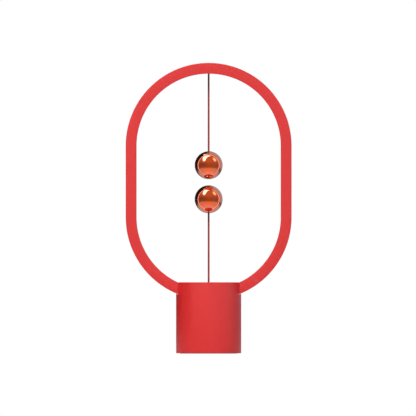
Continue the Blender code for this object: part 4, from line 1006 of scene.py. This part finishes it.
def make_floor():
    """A pale disc that fades out far from the lamp. Mirrors see it rosy near by and orange in front."""
    made, tree = new_tree("pale_floor")
    place = object_place(tree)
    drift = noise(tree, place, scale=6.0)
    colour = blend_colour(tree, rise(tree, drift, (0.3, 0.7)), FLOOR_DEEP, FLOOR_PALE)
    shader = put(tree, "ShaderNodeBsdfPrincipled", {"Base Color": colour, "Roughness": 0.7})
    parts = put(tree, "ShaderNodeSeparateXYZ", {"Vector": place})
    reach = put(tree, "ShaderNodeVectorMath", {0: place}, operation="LENGTH").outputs["Value"]
    tone = blend_colour(tree, rise(tree, reach, FLOOR_NEAR_REACH), FLOOR_ROSY, FLOOR_ORANGE)
    aside = rise(tree, maths(tree, "ABSOLUTE", parts.outputs["X"]), FLOOR_ASIDE_REACH)
    tone = blend_colour(tree, aside, tone, FLOOR_ASIDE)
    behind = rise(tree, parts.outputs["Y"], FLOOR_BEHIND_REACH)
    far = rise(tree, reach, FLOOR_FAR_REACH)
    far = blend_colour(tree, far, FLOOR_BEHIND, FLOOR_FAR_BEHIND)
    tone = blend_colour(tree, behind, tone, far)
    front = fall(tree, parts.outputs["Y"], FLOOR_FRONT_REACH)
    rim = maths(tree, "MULTIPLY", front, rise(tree, reach, FLOOR_RIM_REACH))
    tone = blend_colour(tree, rim, tone, WORLD_BAND)
    glow = put(tree, "ShaderNodeEmission", {"Color": tone, "Strength": 1.0})
    glossy = put(tree, "ShaderNodeLightPath").outputs["Is Glossy Ray"]
    mixed = put(tree, "ShaderNodeMixShader", {0: glossy, 1: shader.outputs[0], 2: glow.outputs[0]})
    fade = rise(tree, reach, FLOOR_FADE_REACH)
    fade = maths(tree, "MAXIMUM", fade, put(tree, "ShaderNodeNewGeometry").outputs["Backfacing"])
    clear = put(tree, "ShaderNodeBsdfTransparent")
    faded = put(tree, "ShaderNodeMixShader", {0: fade, 1: mixed.outputs[0], 2: clear.outputs[0]})
    out = put(tree, "ShaderNodeOutputMaterial")
    tree.links.new(faded.outputs[0], out.inputs["Surface"])
    work = bmesh.new()
    bmesh.ops.create_circle(work, cap_ends=True, segments=FLOOR_SIDES, radius=FLOOR_RADIUS)
    floor = add("floor", from_bmesh("floor", work), made)


def aim(obj, target):
    obj.rotation_euler = (Vector(target) - obj.location).to_track_quat("-Z", "Y").to_euler()


def soft_light(name, place, target, size, power):
    data = bpy.data.lights.new(name, "AREA")
    data.shape = "RECTANGLE"
    data.size = size[0]
    data.size_y = size[1]
    data.energy = power
    light = bpy.data.objects.new(name, data)
    light.location = place
    bpy.context.scene.collection.objects.link(light)
    aim(light, target)
    light.visible_camera = False
    light.visible_glossy = False


def mirror_way(x, y):
    """The way that a level view from the front sees in a mirror ball, at this share of its radius."""
    share = math.hypot(x, y)
    turn = 2 * math.asin(share)
    return Vector((math.sin(turn) * x / share, -math.cos(turn), math.sin(turn) * y / share))


def keep_to_gloss(obj):
    """Leaves a piece seen by glossy rays only."""
    obj.visible_camera = False
    obj.visible_diffuse = False
    obj.visible_shadow = False
    obj.visible_transmission = False


def card(name, outline, strength, colour, soft_edge):
    """A glowing sheet that only mirrors show. Its outline is given as places on a mirror ball."""
    made, tree = new_tree(name)
    edge = put(tree, "ShaderNodeAttribute", attribute_name="edge").outputs["Fac"]
    inside = rise(tree, edge, (0.0, soft_edge))
    glow = put(tree, "ShaderNodeEmission", {"Color": colour4(colour), "Strength": strength})
    clear = put(tree, "ShaderNodeBsdfTransparent")
    mixed = put(tree, "ShaderNodeMixShader", {0: inside, 1: clear.outputs[0], 2: glow.outputs[0]})
    out = put(tree, "ShaderNodeOutputMaterial")
    tree.links.new(mixed.outputs[0], out.inputs["Surface"])
    count = len(outline)
    middle = Vector((sum(x for x, y in outline) / count, sum(y for x, y in outline) / count))
    work = bmesh.new()
    layer = work.verts.layers.float.new("edge")
    rows = []
    for step in range(CARD_STEPS + 1):
        share = (step + 1) / (CARD_STEPS + 1)
        row = []
        for point in outline:
            place = middle.lerp(Vector(point), share)
            vert = work.verts.new(Vector(BALLS) + mirror_way(*place) * CARD_DISTANCE)
            vert[layer] = 1 - share
            row.append(vert)
        rows.append(row)
    work.faces.new(rows[0])
    for inner, outer in zip(rows, rows[1:]):
        for i in range(count):
            k = (i + 1) % count
            work.faces.new((inner[i], inner[k], outer[k], outer[i]))
    keep_to_gloss(add(name, from_bmesh(name, work), made))


def sheen_wall(pieces):
    """A pale wall round the front and the right, whose light only the red plastic's gloss picks up."""
    made, tree = new_tree("sheen_wall")
    glow = put(tree, "ShaderNodeEmission", {"Color": colour4((1, 1, 1)), "Strength": WALL_STRENGTH})
    clear = put(tree, "ShaderNodeBsdfTransparent")
    both = put(tree, "ShaderNodeAddShader", {0: clear.outputs[0], 1: glow.outputs[0]})
    out = put(tree, "ShaderNodeOutputMaterial")
    tree.links.new(both.outputs[0], out.inputs["Surface"])
    work = bmesh.new()
    rows = []
    for i in range(WALL_STEPS + 1):
        turn = WALL_FIRST + (WALL_LAST - WALL_FIRST) * i / WALL_STEPS
        x = WALL_DISTANCE * math.sin(turn)
        y = -WALL_DISTANCE * math.cos(turn)
        rows.append([work.verts.new((x, y, z)) for z in (WALL_BOTTOM, WALL_TOP)])
    for here, after in zip(rows, rows[1:]):
        work.faces.new((here[0], after[0], after[1], here[1]))
    wall = add("sheen_wall", from_bmesh("sheen_wall", work), made)
    keep_to_gloss(wall)
    lit = bpy.data.collections.new("plastic_pieces")
    for piece in pieces:
        lit.objects.link(piece)
    wall.light_linking.receiver_collection = lit


def make_world():
    """Plain light for the lamp, white for the camera, and a warm room for mirrors."""
    world = bpy.data.worlds.new("studio")
    bpy.context.scene.world = world
    world.use_nodes = True
    tree = world.node_tree
    tree.nodes.clear()
    path = put(tree, "ShaderNodeLightPath")
    direction = put(tree, "ShaderNodeTexCoord").outputs["Generated"]
    parts = put(tree, "ShaderNodeSeparateXYZ", {"Vector": direction})
    across = parts.outputs["X"]
    cloud = noise(tree, direction, scale=3.5, detail=3.0)
    behind = rise(tree, parts.outputs["Y"], WORLD_BEHIND_SPAN)
    lifted = maths(tree, "MULTIPLY_ADD", parts.outputs["Z"], WORLD_LEFT_SLANT, across)
    left = fall(tree, lifted, WORLD_LEFT_SPAN)
    high = rise(tree, parts.outputs["Z"], WORLD_HIGH_SPAN)
    sideways = fall(tree, across, WORLD_SIDEWAYS_SPAN)
    band = blend_colour(tree, sideways, WORLD_BAND, WORLD_BAND_LEFT)
    band = blend_colour(tree, rise(tree, across, WORLD_RIGHT_SPAN), band, WORLD_BAND_RIGHT)
    front = blend_colour(tree, high, band, WORLD_FRONT)
    cloudy = span(tree, cloud, 0.0, WORLD_CLOUD_SHARE, WORLD_CLOUD_SPAN, smooth=True)
    front = blend_colour(tree, cloudy, front, WORLD_CLOUD)
    back = blend_colour(tree, left, WORLD_BACK, WORLD_BACK_LEFT)
    glossy = blend_colour(tree, behind, front, back)
    room = put(tree, "ShaderNodeBackground", {"Color": glossy, "Strength": 1.0})
    level = span(tree, across, AMBIENT_LEFT, AMBIENT_RIGHT, (-1.0, 1.0))
    level = maths(tree, "MULTIPLY_ADD", parts.outputs["Y"], AMBIENT_BEHIND, level)
    ambient = put(tree, "ShaderNodeBackground", {"Color": colour4((1, 1, 1)), "Strength": level})
    white = put(tree, "ShaderNodeBackground", {"Color": colour4((1, 1, 1)), "Strength": 1.0})
    mirrored_ray = path.outputs["Is Glossy Ray"]
    first = put(tree, "ShaderNodeMixShader", {0: mirrored_ray, 1: ambient.outputs[0], 2: room.outputs[0]})
    seen = maths(tree, "MAXIMUM", path.outputs["Is Camera Ray"], path.outputs["Is Transmission Ray"])
    second = put(tree, "ShaderNodeMixShader", {0: seen, 1: first.outputs[0], 2: white.outputs[0]})
    out = put(tree, "ShaderNodeOutputWorld")
    tree.links.new(second.outputs[0], out.inputs["Surface"])


bpy.context.scene.view_settings.view_transform = "Standard"
make_floor()
make_world()
for settings in LIGHTS:
    soft_light(*settings)
card("window_card", WINDOW_CARD, strength=3.2, colour=(0.88, 1.0, 1.0), soft_edge=0.36)
card("lamp_card", LAMP_CARD, strength=2.4, colour=(1.0, 0.80, 0.52), soft_edge=1.0)
sheen_wall([obj for obj in bpy.data.objects if obj.type == "MESH" and obj.data.materials[:] == [RED]])
